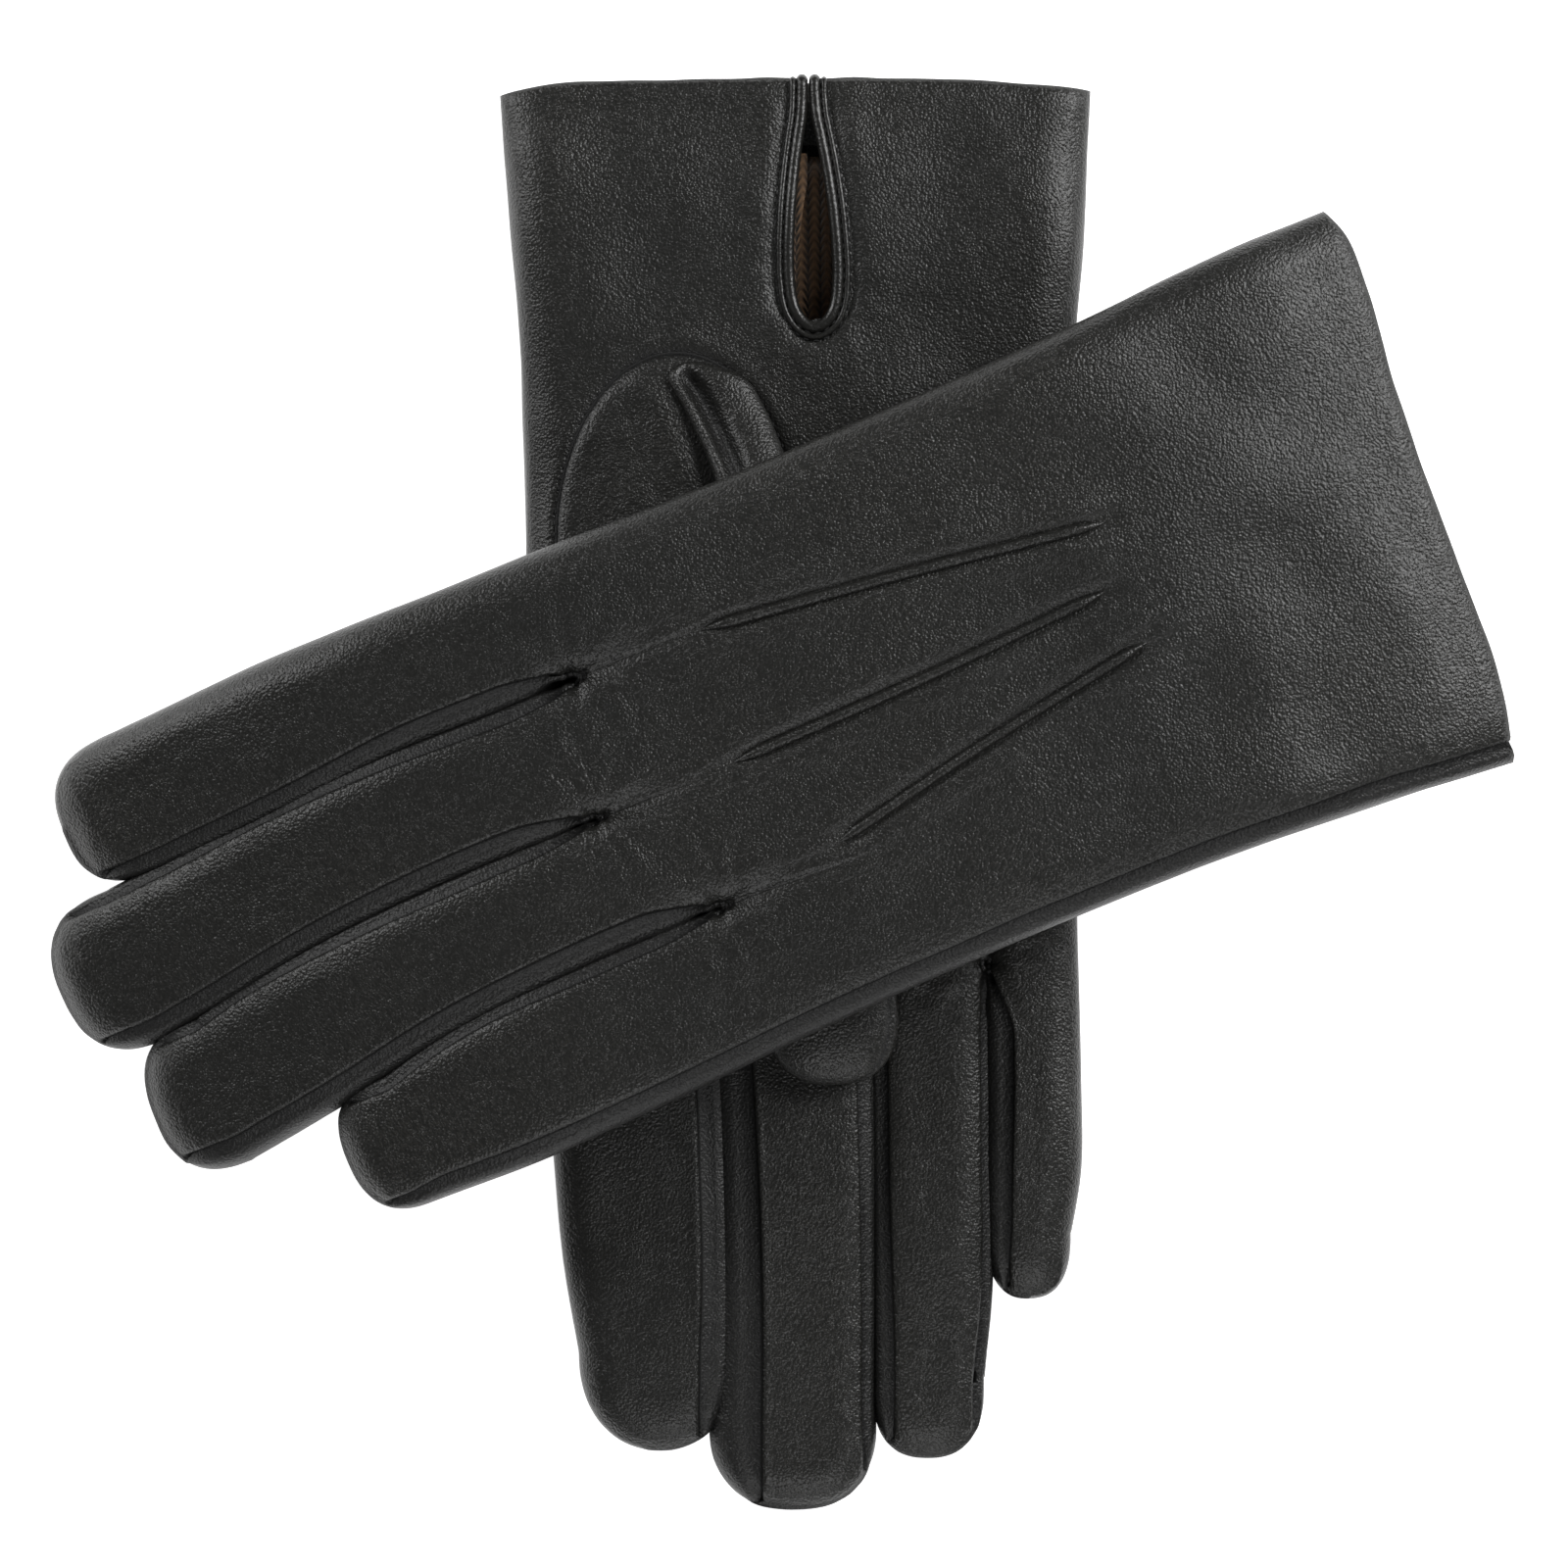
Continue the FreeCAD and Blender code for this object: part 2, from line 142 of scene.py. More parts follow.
SHAPE = {
    "right": {
        "index": dict(tip=234.8, cap=17.0, square=2.15,
                      left=((150, -42.6), (185, -40.0), (204, -38.2), (219, -35.4)),
                      right=((148, -12.4), (167, -9.8), (187, -8.8), (204, -8.3), (222, -8.7)),
                      palm=(RIM, (1.2, 6.6, 6.9)), back=(RIM, SEAM)),
        "middle": dict(tip=245.0, cap=15.0, square=2.3,
                       left=((148, -14.2), (180, -12.4), (215, -12.0), (232, -12.2)),
                       right=((152, 15.1), (175, 15.4), (205, 15.4), (233, 15.0)),
                       palm=((1.2, 8.0, 8.9), (1.2, 3.5, 2.4)), back=(SEAM, SEAM)),
        "ring": dict(tip=236.2, cap=12.5, square=2.4,
                     left=((152, 15.2), (180, 15.7), (210, 16.0), (230, 16.2)),
                     right=((149, 34.8), (180, 35.1), (209, 35.2), (224, 33.8)),
                     palm=((1.2, 2.6, 3.3), (1.2, 1.6, 1.6)), back=(SEAM, SEAM)),
        "little": dict(tip=208.6, cap=11.0, square=2.4,
                       left=((149, 34.9), (170, 35.2), (190, 35.5), (203, 36.3)),
                       right=((140, 50.9), (170, 51.6), (187, 51.5), (199, 49.6)),
                       palm=((1.2, 5.2, 3.2), RIM), back=(SEAM, (5.0, 5.0, 3.0))),
    },
    "left": {
        "index": dict(tip=235.6, cap=15.0, square=2.7,
                      left=((143, -47.0), (176, -47.5), (194, -47.6), (214, -46.9)),
                      right=((144, -25.0), (158, -24.6), (176, -24.9), (194, -23.8), (214, -22.9)),
                      palm=(RIM, SEAM), back=(RIM, (2.0, 4.2, 3.2))),
        "middle": dict(tip=246.9, cap=14.0, square=2.6,
                       left=((144, -24.2), (158, -24.3), (178, -24.7), (214, -23.0), (232, -21.4)),
                       right=((149, -1.3), (176, -1.5), (204, 0.2), (225, 3.3), (234, 4.4)),
                       palm=(SEAM, SEAM), back=((1.6, 2.8, 1.8), (2.0, 4.2, 3.8))),
        "ring": dict(tip=240.0, cap=12.5, square=2.6,
                     left=((149, -1.3), (176, -1.2), (204, 0.5), (218, 2.4), (230, 4.9)),
                     right=((136, 20.4), (160, 20.5), (188, 22.7), (206, 25.8), (223, 28.2)),
                     palm=(SEAM, SEAM), back=((1.6, 2.8, 1.8), (2.0, 4.6, 4.6))),
        "little": dict(tip=211.4, cap=11.5, square=2.6,
                       left=((136, 20.4), (160, 20.8), (188, 22.5), (203, 26.3)),
                       right=((140, 46.6), (160, 47.6), (180, 48.4), (200, 48.0)),
                       palm=(SEAM, RIM), back=((1.6, 2.6, 2.4), (3.8, 3.4, 2.4))),
    },
}
MOUTH_EDGE = {                       # u of the cuff's edge at some v
    "right": ((-49, 0.0), (-42, -1.4), (-20, -2.4), (10, -2.7), (35, -2.3), (53, -0.8)),
    "left": ((-49, -3.6), (-45, -5.0), (-34, -5.0), (-17, -2.9), (0, -1.9), (17, -1.3), (34, -0.5),
             (49, 2.6)),
}
NESTLE = 1.0                         # the sides of neighbouring fingers press on each other by this much
FINGER_HEIGHT = {"index": 5.6, "middle": 5.5, "ring": 5.3, "little": 5.0}


def smooth_line(points, u):
    """v at u on a smooth curve through (u, v) points, straight beyond its ends."""
    pu, pv = (np.array(c, float) for c in zip(*points))
    slope = np.gradient(pv, pu)
    k = np.clip(np.searchsorted(pu, u) - 1, 0, len(pu) - 2)
    width = pu[k + 1] - pu[k]
    t = (u - pu[k]) / width
    inside = np.clip(t, 0, 1)
    a, b = inside ** 2 * (3 - 2 * inside), inside * (1 - inside) ** 2
    c = inside ** 2 * (inside - 1)
    curve = pv[k] * (1 - a) + pv[k + 1] * a + width * (slope[k] * b + slope[k + 1] * c)
    beyond = (t - inside) * width
    return curve + beyond * np.where(t > 1, slope[k + 1], slope[k])


def ease(t):
    """A smooth step from 0 to 1."""
    t = np.clip(t, 0, 1)
    return t * t * (3 - 2 * t)


def ridge(distance, width):
    """A smooth ridge along a line: 1 on the line, and almost 0 at twice its width away."""
    return np.exp(-(distance / width) ** 2)


print("outlines of", len(SHAPE) * len(FINGERS), "fingers")

# %% [markdown]
# ## The pillow
# A stuffed or lined glove that lies flat has rounded rims and a nearly flat middle. One profile
# gives both: the height over a point depends on how far it lies from the outline. The same profile
# serves the palm, the back, the fourchettes, and the lining a little further in.

# %% The height of the surface over its distance from the outline
def pillow(distance, reach, power=2.2):
    """0 on the outline, 1 from reach inwards."""
    t = np.clip(distance / reach, 0, 1)
    return (1 - (1 - t) ** power) ** (1 / power)


FINGER_REACH = 7.2    # of the rounded rim of a finger
HAND_REACH = 9.0      # and of the hand's two outer rims
COLUMNS = 28          # of mesh faces across one finger
ROWS_HAND = 190       # from the cuff to where the fingers go their own ways
ROWS_FINGER = 118     # from there to the tips
HAND_END = 153.0      # u of that line
WALL_ROWS = 9         # faces down the side of a finger, from the palm's seam to the back's
HEM_ROWS = 16         # of the turned-in hem inside the cuff
HEM_DEPTH = 11.0
VENT_END = 39.6       # the slit in the palm side of the cuff
VENT_V = 4.9
VENT_OPEN = ((0, 0.1), (4, 0.35), (8, 1.1), (12, 1.75), (16, 2.3), (20, 2.75), (26, 3.2), (31, 3.3),
             (35, 3.0), (37, 2.5), (38.3, 1.8), (39.1, 1.0), (39.5, 0.4), (39.6, 0.0))
BINDING = 1.0         # half the width of the rolled edge of the binding
BAND = 0.55           # and of the flatter band beside it


def inset_of(values, u, start):
    """A seam's distance from the outline: small at the crotch, then wider."""
    near, middle, far = values
    t = ease((u - start) / 14.0)
    s = ease((u - start - 20.0) / 55.0)
    return near + (middle - near) * t + (far - middle) * s


# %% [markdown]
# ## The blank
# The blank is a grid with a slit between each two fingers. Extruded, it becomes a closed slab whose
# side walls are the fourchettes, and those walls are divided so that they can bulge. The cuff's end
# is opened, and its edge is extruded back inside to be the turned-in hem. Every vertex still sits
# at a plain address: its column, its row and its level between the back and the palm.

# %% Cut and thicken the blank
def to_mesh(bm):
    """A mesh that holds what the bmesh holds. The bmesh is freed."""
    mesh = bpy.data.meshes.new("part")
    bm.to_mesh(mesh)
    bm.free()
    return mesh


def extruded(bm, edges, step):
    """Extrudes edges by a step, and returns the new edges."""
    made = bmesh.ops.extrude_edge_only(bm, edges=edges)["geom"]
    bmesh.ops.translate(bm, vec=step, verts=[g for g in made if isinstance(g, bmesh.types.BMVert)])
    return [g for g in made if isinstance(g, bmesh.types.BMEdge)]


def thickened(bm, geom, step):
    """Extrudes a sheet by a step, so that it becomes a closed slab."""
    made = bmesh.ops.extrude_face_region(bm, geom=geom)["geom"]
    bmesh.ops.translate(bm, vec=step, verts=[g for g in made if isinstance(g, bmesh.types.BMVert)])


def column_middle(vert):
    """The mean column of the faces round a vertex, which tells the two sides of a slit apart."""
    return sum(f.calc_center_median().x for f in vert.link_faces) / len(vert.link_faces)


def blank(side, hem, shrink):
    """The flat blank of a glove as a mesh, addressed in columns, rows and levels."""
    rows = ROWS_HAND + ROWS_FINGER
    bm = bmesh.new()
    bmesh.ops.create_grid(bm, x_segments=4 * COLUMNS, y_segments=rows, size=0.5)
    bmesh.ops.translate(bm, vec=(0.5, 0.5, 0), verts=bm.verts)
    bmesh.ops.scale(bm, vec=(4 * COLUMNS, rows, 1), verts=bm.verts)
    finger = bm.verts.layers.float.new("finger")
    lip = bm.verts.layers.float.new("lip")
    starts = [round(fork(side, k, shrink)[0] / HAND_END * ROWS_HAND) for k in range(3)]

    def along(edge, column, low, high):
        a, b = (p.co for p in edge.verts)
        on = abs(a.x - column) < 0.01 and abs(b.x - column) < 0.01
        return on and min(a.y, b.y) > low - 0.01 and max(a.y, b.y) < high + 0.01

    slits = [e for e in bm.edges
             if any(along(e, (k + 1) * COLUMNS, start, rows) for k, start in enumerate(starts))]
    bmesh.ops.split_edges(bm, edges=slits)
    for vert in bm.verts:
        vert[finger] = min(3, column_middle(vert) // COLUMNS)
    thickened(bm, bm.faces[:] + bm.edges[:] + bm.verts[:], (0, 0, 2))
    bmesh.ops.translate(bm, vec=(0, 0, -1), verts=bm.verts)
    upright = [e for e in bm.edges if abs(e.verts[0].co.z - e.verts[1].co.z) > 1]
    bmesh.ops.subdivide_edges(bm, edges=upright, cuts=WALL_ROWS - 1, use_grid_fill=True)
    end_wall = [f for f in bm.faces if all(p.co.y < 0.01 for p in f.verts)]
    bmesh.ops.delete(bm, geom=end_wall, context="FACES")
    last = round(VENT_END / HAND_END * ROWS_HAND)
    vent = [e for e in bm.edges
            if all(p.co.z > 0.99 for p in e.verts) and along(e, 2 * COLUMNS, 0, last)]
    bmesh.ops.split_edges(bm, edges=vent)
    for vert in bm.verts:
        if vert.co.z > 0.99 and vert.co.y < last - 0.5 and abs(vert.co.x - 2 * COLUMNS) < 0.01:
            vert[lip] = 1 if column_middle(vert) > vert.co.x else -1
    if hem:
        edge = [e for e in bm.edges if e.is_boundary and all(p.co.y < 0.01 for p in e.verts)]
        for _ in range(HEM_ROWS):
            edge = extruded(bm, edge, (0, -1, 0))
    bmesh.ops.recalc_face_normals(bm, faces=bm.faces)
    return bm


# %% [markdown]
# ## Shaping the blank
# Shaping turns an address into a place. Columns become lines that run up the hand and into one
# finger, rows become lines across it, and levels become the walls between the two faces. This is
# the step that a glover does on heated metal hands. It could be done by pulling vertices about in
# the editor, but a rule for each part keeps both gloves alike and easy to change.

# %% From an address to a pattern point
NO_SEAM = 99.0           # a distance from a seam, where there is none near
SHARE_WIDTH = 26.0       # the length before a fork over which neighbouring fingers part


def side_lines(side, f, u, face_insets, sign, shrink):
    """The outline and the seam on one side of finger f at u, and how far the fingers have parted."""
    shape = SHAPE[side][FINGERS[f]]
    outer = (f == 0 and sign < 0) or (f == 3 and sign > 0)
    name, which = ("left", 0) if sign < 0 else ("right", 1)
    edge = smooth_line(shape[name], u)
    if outer:
        hand = smooth_line(HAND_EDGE[side][which], u)
        start = shape[name][0][0]
        edge = hand + (edge - hand) * ease((u - start + 22.0) / 24.0)
        inset = np.full(u.shape, face_insets[which][1], float)
        return edge, edge - sign * inset, np.ones(u.shape)
    crotch_u, crotch_v = fork(side, f if sign > 0 else f - 1, shrink)
    edge = edge + sign * NESTLE * ease((u - crotch_u + 2.0) / 4.0)
    inset = inset_of(face_insets[which], u, crotch_u)
    cuff = cuff_line(side, f + 1 if sign > 0 else f)
    t = np.clip((crotch_u - u) / (crotch_u - 48.0), 0, 1)
    hand = crotch_v + (cuff - crotch_v) * ease(t)
    parted = ease((u - crotch_u + SHARE_WIDTH) / SHARE_WIDTH) ** 1.5
    above = u >= crotch_u
    seam = np.where(above, edge - sign * inset, hand)
    close = ease((u - crotch_u) / 4.5)
    seam = np.where(above, crotch_v + (seam - crotch_v) * close, seam)
    return np.where(above, edge, hand + sign * inset), seam, parted


def fork(side, k, shrink):
    """The point where fingers k and k + 1 part. The lining parts a little nearer to the cuff."""
    u, v = CROTCH[side][k]
    return u - 2.2 * shrink, v


def cuff_line(side, k):
    """v where the line between two fingers' columns reaches the cuff."""
    low, high = HAND_EDGE[side][0][0][1], HAND_EDGE[side][1][0][1]
    return {1: low + (VENT_V - low) * 0.5, 2: VENT_V, 3: VENT_V + (high - VENT_V) * 0.5}[k]


# %% One face of a finger: its plan and its height
def tip_frame(side, f, shrink):
    """Where the round cap of a fingertip starts, its middle and half its width there, and its tip."""
    shape = SHAPE[side][FINGERS[f]]
    tip = shape["tip"] - shrink
    at = np.array([tip - shape["cap"]])
    left, right = (side_lines(side, f, at, shape["palm"], sign, shrink)[0][0] for sign in (-1, 1))
    return tip - shape["cap"], (left + right) / 2, (right - left) / 2, tip


def face_plan(side, f, face, spread, plain, row, shrink):
    """Where the points of one face of finger f lie on the plan, with the outline on both sides."""
    shape = SHAPE[side][FINGERS[f]]
    insets, cap, power = shape[face], shape["cap"], shape["square"]
    start_cap, mid_cap, half_cap, tip = tip_frame(side, f, shrink)
    inset_left, inset_right = (inset_of(inset, np.array([tip]), 150)[0] for inset in insets)
    x_left, x_right = inset_left - half_cap, half_cap - inset_right
    x_end = (x_left + x_right) / 2 + spread * (x_right - x_left) / 2
    room = np.clip((1 - 0.9 / half_cap) ** power - np.abs(x_end / half_cap) ** power, 0, 1)
    u_end = start_cap + cap * room ** (1 / power)
    up_finger = np.clip((row - ROWS_HAND) / ROWS_FINGER, 0, 1)
    u = plain + (u_end - HAND_END) * up_finger
    u_side = np.minimum(u, start_cap)
    left, seam_left, part_left = side_lines(side, f, u_side, insets, -1, shrink)
    right, seam_right, part_right = side_lines(side, f, u_side, insets, 1, shrink)
    v = (seam_left + seam_right) / 2 + spread * (seam_right - seam_left) / 2
    v = v + (mid_cap + x_end - v) * ease((u - start_cap + 4) / 8.0)
    return dict(u=u, v=v, left=left, right=right, part_left=part_left, part_right=part_right,
                into=np.clip((u - start_cap) / cap, 0, 1))


def skin_share(f, p, rim_reach, power):
    """Height of the skin over the points of a plan, as a share of the full height."""
    x = p["v"] - (p["left"] + p["right"]) / 2
    half = np.maximum((p["right"] - p["left"]) / 2, 1)
    reach_left = rim_reach if f == 0 else FINGER_REACH
    reach_right = rim_reach if f == 3 else FINGER_REACH
    h_left = 1 - p["part_left"] * (1 - pillow(half + x, reach_left))
    h_right = 1 - p["part_right"] * (1 - pillow(half - x, reach_right))
    rho = (np.abs(x / half) ** power + p["into"] ** power) ** (1 / power)
    return np.where(p["into"] > 0, pillow((1 - rho) * half, FINGER_REACH), h_left * h_right)


# %% The hem, the walls and the whole blank
def turn_hem(side, hem, u, v, w):
    """The rows beyond the cuff's edge, turned in and laid inside the hand."""
    turned = ease(hem / 3.0)
    inward = 1.5 * turned
    u_hem = (hem - 2.4 * turned) * HEM_DEPTH / (HEM_ROWS - 2.4)
    w_hem = w - np.sign(w) * np.minimum(inward, np.abs(w) * 0.6)
    hand_mid = HAND_MIDDLE[side]
    v_hem = hand_mid + (v - hand_mid) * (1 - inward / 50.0)
    return [np.where(hem > 0, *pair) for pair in ((u + u_hem, u), (v_hem, v), (w_hem, w))]


def shaped_finger(side, f, column, row, w, shrink):
    """Pattern points of one finger and its share of the hand, and their distance from a seam."""
    shape = SHAPE[side][FINGERS[f]]
    power = shape["square"]
    start_cap, mid_cap, half_cap, _ = tip_frame(side, f, shrink)
    s = np.clip((column - f * COLUMNS) / COLUMNS * 2 - 1, -1, 1)
    plain = np.clip(row, 0, ROWS_HAND) / ROWS_HAND * HAND_END
    finger_part = ease((plain - 100.0) / 45.0)
    spread = s + (np.sin(s * math.pi / 2) - s) * (0.3 + 0.6 * finger_part)
    rim_reach = HAND_REACH + (FINGER_REACH - HAND_REACH) * finger_part
    palm, back = (face_plan(side, f, face, spread, plain, row, shrink) for face in ("palm", "back"))
    t = (w + 1) / 2
    mix = {k: back[k] * (1 - t) + palm[k] * t for k in palm}
    height = THICK + (FINGER_HEIGHT[FINGERS[f]] - THICK) * finger_part - ease(1 - plain / 22.0) - shrink
    height = height - 0.8 * (shrink == 0) * (1 - np.clip(plain / 3.0, 0, 1)) ** 2

    # the face: the palm's plan above the middle, the back's below it
    face_share = np.where(w > 0, skin_share(f, palm, rim_reach, power), skin_share(f, back, rim_reach, power))
    face_u, face_v = (np.where(w > 0, palm[k], back[k]) for k in ("u", "v"))

    # the wall: out from the face's seam to the outline, and down to the other seam
    left_wall = s < 0
    into = mix["into"]
    x = mix["v"] - mid_cap
    rho = np.maximum((np.abs(x / half_cap) ** power + into ** power) ** (1 / power), 1e-3)
    edge_u = np.where(into > 0, start_cap + (mix["u"] - start_cap) / rho, mix["u"])
    edge_v = np.where(into > 0, mid_cap + x / rho, np.where(left_wall, mix["left"], mix["right"]))
    fold = np.abs(w) ** 1.7
    outer = (left_wall & (f == 0)) | (~left_wall & (f == 3))
    before, after = max(f - 1, 0), min(f, 2)      # the forks on the finger's two sides
    fork_u = np.where(left_wall, fork(side, before, shrink)[0], fork(side, after, shrink)[0])
    open_up = np.maximum(outer, ease((mix["u"] - fork_u) / 9.0))
    wall_u = face_u + (edge_u + (face_u - edge_u) * fold - face_u) * open_up
    wall_v = face_v + (edge_v + (face_v - edge_v) * fold - face_v) * open_up
    half_here = np.maximum((mix["right"] - mix["left"]) / 2, 1)
    gap = np.hypot(face_u - edge_u, face_v - edge_v) * fold
    rise = np.minimum(pillow(gap, np.where(outer, rim_reach, FINGER_REACH)), face_share)
    straight = np.abs(w) * face_share
    rise = straight + (rise - straight) * open_up

    wall = np.abs(w) < 0.999
    u_pick, v_pick, share = (np.where(wall, *pair) for pair in (
        (wall_u, face_u), (wall_v, face_v), (rise, face_share)))
    if shrink:
        middle_v = (mix["left"] + mix["right"]) / 2
        v_pick = middle_v + (v_pick - middle_v) * (1 - shrink / half_here)
    u_pick = u_pick + smooth_line(MOUTH_EDGE[side], v_pick) * (1 - ease(plain / 34.0))
    points = turn_hem(side, np.clip(-row, 0, None), u_pick, v_pick, np.sign(w) * share * height)

    # the seams: none on the outer sides, but for the little finger's back
    crotch_u = np.where(left_wall, CROTCH[side][before][0], CROTCH[side][after][0])
    folded = ((f == 0) & (s < 0)) | ((f == 3) & (s > 0) & (w > 0))
    sewn = np.where(folded, 0.0, ease((mix["u"] - crotch_u) / 3.0 + 1))
    sewn = np.where((f == 3) & (s > 0) & (w < 0), 1.0, sewn)
    across = half_here * (1 - np.abs(spread))
    down = np.hypot(face_u - wall_u, face_v - wall_v) + np.abs(height * (face_share - rise))
    return (*points, np.where(sewn > 0.5, np.where(wall, down, across), NO_SEAM))


def shaped(side, address, shrink, lips):
    """Pattern points (u, v, w) of addressed vertices. shrink moves the skin inwards."""
    column, row, level, finger = address
    out = np.zeros((4, len(column)))
    for f in range(len(FINGERS)):
        pick = finger == f
        out[:, pick] = shaped_finger(side, f, column[pick], row[pick], level[pick], shrink)
    u, v, w, seam_gap = out
    return u, open_vent(u, v, level, shrink, lips), w, seam_gap


def open_vent(u, v, level, shrink, lips):
    """v of all points once the slit in the palm is spread. The lining's slit is a little wider."""
    wider = BINDING * 0.9 if shrink == 0 else 1.8
    open_half = np.interp(u, *zip(*VENT_OPEN)) + wider * (u < VENT_END)
    off = v - VENT_V
    palm = level > 0.99
    v = np.where(palm, v + (vent_middle(u) - VENT_V) * np.exp(-np.abs(off) / 20.0), v)
    away = np.where(lips != 0, lips, np.sign(off))
    push = away * open_half * np.exp(-np.abs(off) / 9.0)
    return np.where(palm & (u < VENT_END + 3), v + push, v)


# %% [markdown]
# ## Relief
# Hide is never smooth. It is drawn down into a seam and rolls up beside it, the stitches pucker it,
# it pulls into wrinkles at the forks and round the vent, and a folded cuff keeps soft dents. All of
# these move the surface by less than a millimetre, along its own normal, so they are real shape in
# the mesh and not only a bump in the finish.

# %% The small hills and valleys of the hide
POINT_LINES = (((49.5, -14.3), (89.0, -20.0), (123.0, -24.2)),
               ((54.0, -4.0), (88.5, -2.2), (126.5, -1.3)),
               ((51.0, 6.3), (85.0, 12.0), (115.5, 18.2)))
OVAL = (77.0, -18.6, 32.0, 20.6)          # the arch seam: middle, and half its length and width


def noise_at(u, v, layer, length_u, length_v):
    """Smooth noise over the pattern, with waves of about the given lengths in millimetres."""
    spots = zip(u / length_u, v / length_v, layer)
    return np.fromiter((noise.noise(Vector(spot)) for spot in spots), float, len(u))


def vent_middle(u):
    return np.interp(u, (0.0, 20.0, 39.0), (4.2, 4.8, 5.3))


def off_line(u, v, line):
    """Distance of points from a smooth line, and how far along it they are, both in millimetres."""
    (u0, v0), (u1, v1) = line[0], line[-1]
    middle = smooth_line(line, np.clip(u, u0, u1))
    past = np.maximum(np.maximum(u0 - u, u - u1), 0)
    return np.hypot(v - middle, past), u - u0


def oval_distance(u, v):
    """Distance from the arch seam, positive outside it."""
    mu, mv, half_u, half_v = OVAL
    rho = np.hypot((u - mu) / half_u, (v - mv) / half_v)
    return (rho - 1) * half_v


def noise_layer(side, w):
    """The slice of the noise that a face of a glove takes, so that no two faces are alike."""
    return np.where(w > 0, 3.0, 11.0) + (0 if side == "right" else 40)


def hills(side, u, v, w):
    """Soft dents of the whole surface, in millimetres. Everything that is sewn on follows them."""
    layer = noise_layer(side, w)
    cuff = 0.75 * (1 - ease((u - 50) / 50.0)) * noise_at(u, v, layer + 8, 19, 17)
    near = 0.2 * noise_at(u, v, layer + 2, 13, 9)
    return ease(u / 12.0) * (0.85 * noise_at(u, v, layer, 34, 26) + cuff) + near


SEAM_DEPTH = 1.05        # of the groove over a seam
STITCH_PULL = 2.3        # from one pucker beside a seam to the next
VENT_ROUND = 38.9        # u from which the vent's end is round


# %% Wrinkles at the forks, the vent, the arch and the points
def fork_relief(side, u, v, w, layer):
    """Rays of small wrinkles round each fork, and the hollow that the fork pulls in the hand."""
    out = np.zeros(u.shape)
    for k, (fork_u, fork_v) in enumerate(CROTCH[side]):
        du, dv = u - fork_u, v - fork_v
        reach = np.hypot(du, dv)
        rays = np.cos(np.arctan2(dv, -du) * 11 + 2.5 * noise_at(u, v, layer + k, 7, 7))
        out += 0.1 * rays * ridge(reach - 7, 8.0) * (np.abs(w) > 0.5) * ease(reach / 4)
        out -= 0.7 * ridge(dv, 2.4) * np.exp(-np.clip(-du, 0, None) / 9.0) * (du < 2) * ease(reach)
    return out


def vent_relief(u, v, layer):
    """The sewn groove round the vent, the roll beside it and the wrinkles that leave it."""
    from_middle = v - vent_middle(u)
    beside = np.abs(from_middle) - np.interp(u, *zip(*VENT_OPEN))
    below = np.hypot(np.clip(u - VENT_ROUND, 0, None), from_middle)
    gap = np.where(u < VENT_ROUND, beside, below)
    rays = np.cos(np.arctan2(from_middle, u - 30.0) * 13 + 2 * noise_at(u, v, layer + 5, 8, 8))
    groove = 0.5 * ridge(gap - 3.6, 1.2) * ease((u + 2) / 6)
    return 0.15 * ridge(gap - 7.5, 3.0) + 0.06 * rays * ridge(gap - 8, 5.0) - groove


def arch_relief(u, v):
    """The seam round the thumb's base, and the hide sunk inside it, where the base covers it."""
    arch = oval_distance(u, v)
    roll = 0.16 * ridge(arch - 1.6, 0.9) * (0.7 + 0.3 * np.cos(u * 1.9 + v * 1.7))
    return roll - 0.4 * ridge(np.clip(arch, 0, None), 0.6) - 1.8 * ease((-arch - 0.2) / 1.6)


def point_relief(u, v, layer):
    """The groove under each raised point, the rolls beside it and the gathers at its ends."""
    out = np.zeros(u.shape)
    for line in POINT_LINES:
        away, along = off_line(u, v, line)
        length = line[-1][0] - line[0][0]
        fade = ease((along + 3) / 8) * ease((length + 3 - along) / 8)
        out += fade * (0.3 * ridge(away - 3.4, 1.7) - 0.6 * ridge(away, 1.7))
        for end_u, end_v in (line[0], line[-1]):
            gathers = np.cos(v * 2.2 + 2 * noise_at(u, v, layer + 7, 9, 9))
            out += 0.22 * gathers * ridge(np.hypot(u - end_u, v - end_v), 6.5)
    return out


def relief(side, u, v, w, seam):
    """How far each point of the hide moves along its normal, in millimetres."""
    layer = noise_layer(side, w)
    pucker = 0.6 + 0.4 * np.cos(2 * math.pi * u / STITCH_PULL + 3 * noise_at(u, v, layer + 1, 9, 9))
    out = hills(side, u, v, w) - SEAM_DEPTH * ridge(seam, 0.42) + 0.12 * pucker * ridge(seam - 1.5, 0.8)
    out += 0.1 * noise_at(u, v, layer + 4, 16, 3.2) * ease((u - 60) / 60)
    inner_wall = (np.abs(w) < 0.999) & (seam < NO_SEAM)
    out += 0.45 * inner_wall * ridge(np.abs(w) - 0.56, 0.18) * (1 + noise_at(u, v, layer + 9, 25, 25))
    out += 0.13 * ease((u - 185) / 40) * noise_at(u, v, layer + 6, 2.6, 9)
    out += fork_relief(side, u, v, w, layer)
    out += (w > 0.5) * (vent_relief(u, v, layer) + arch_relief(u, v))
    return out + (w < -0.5) * point_relief(u, v, layer)
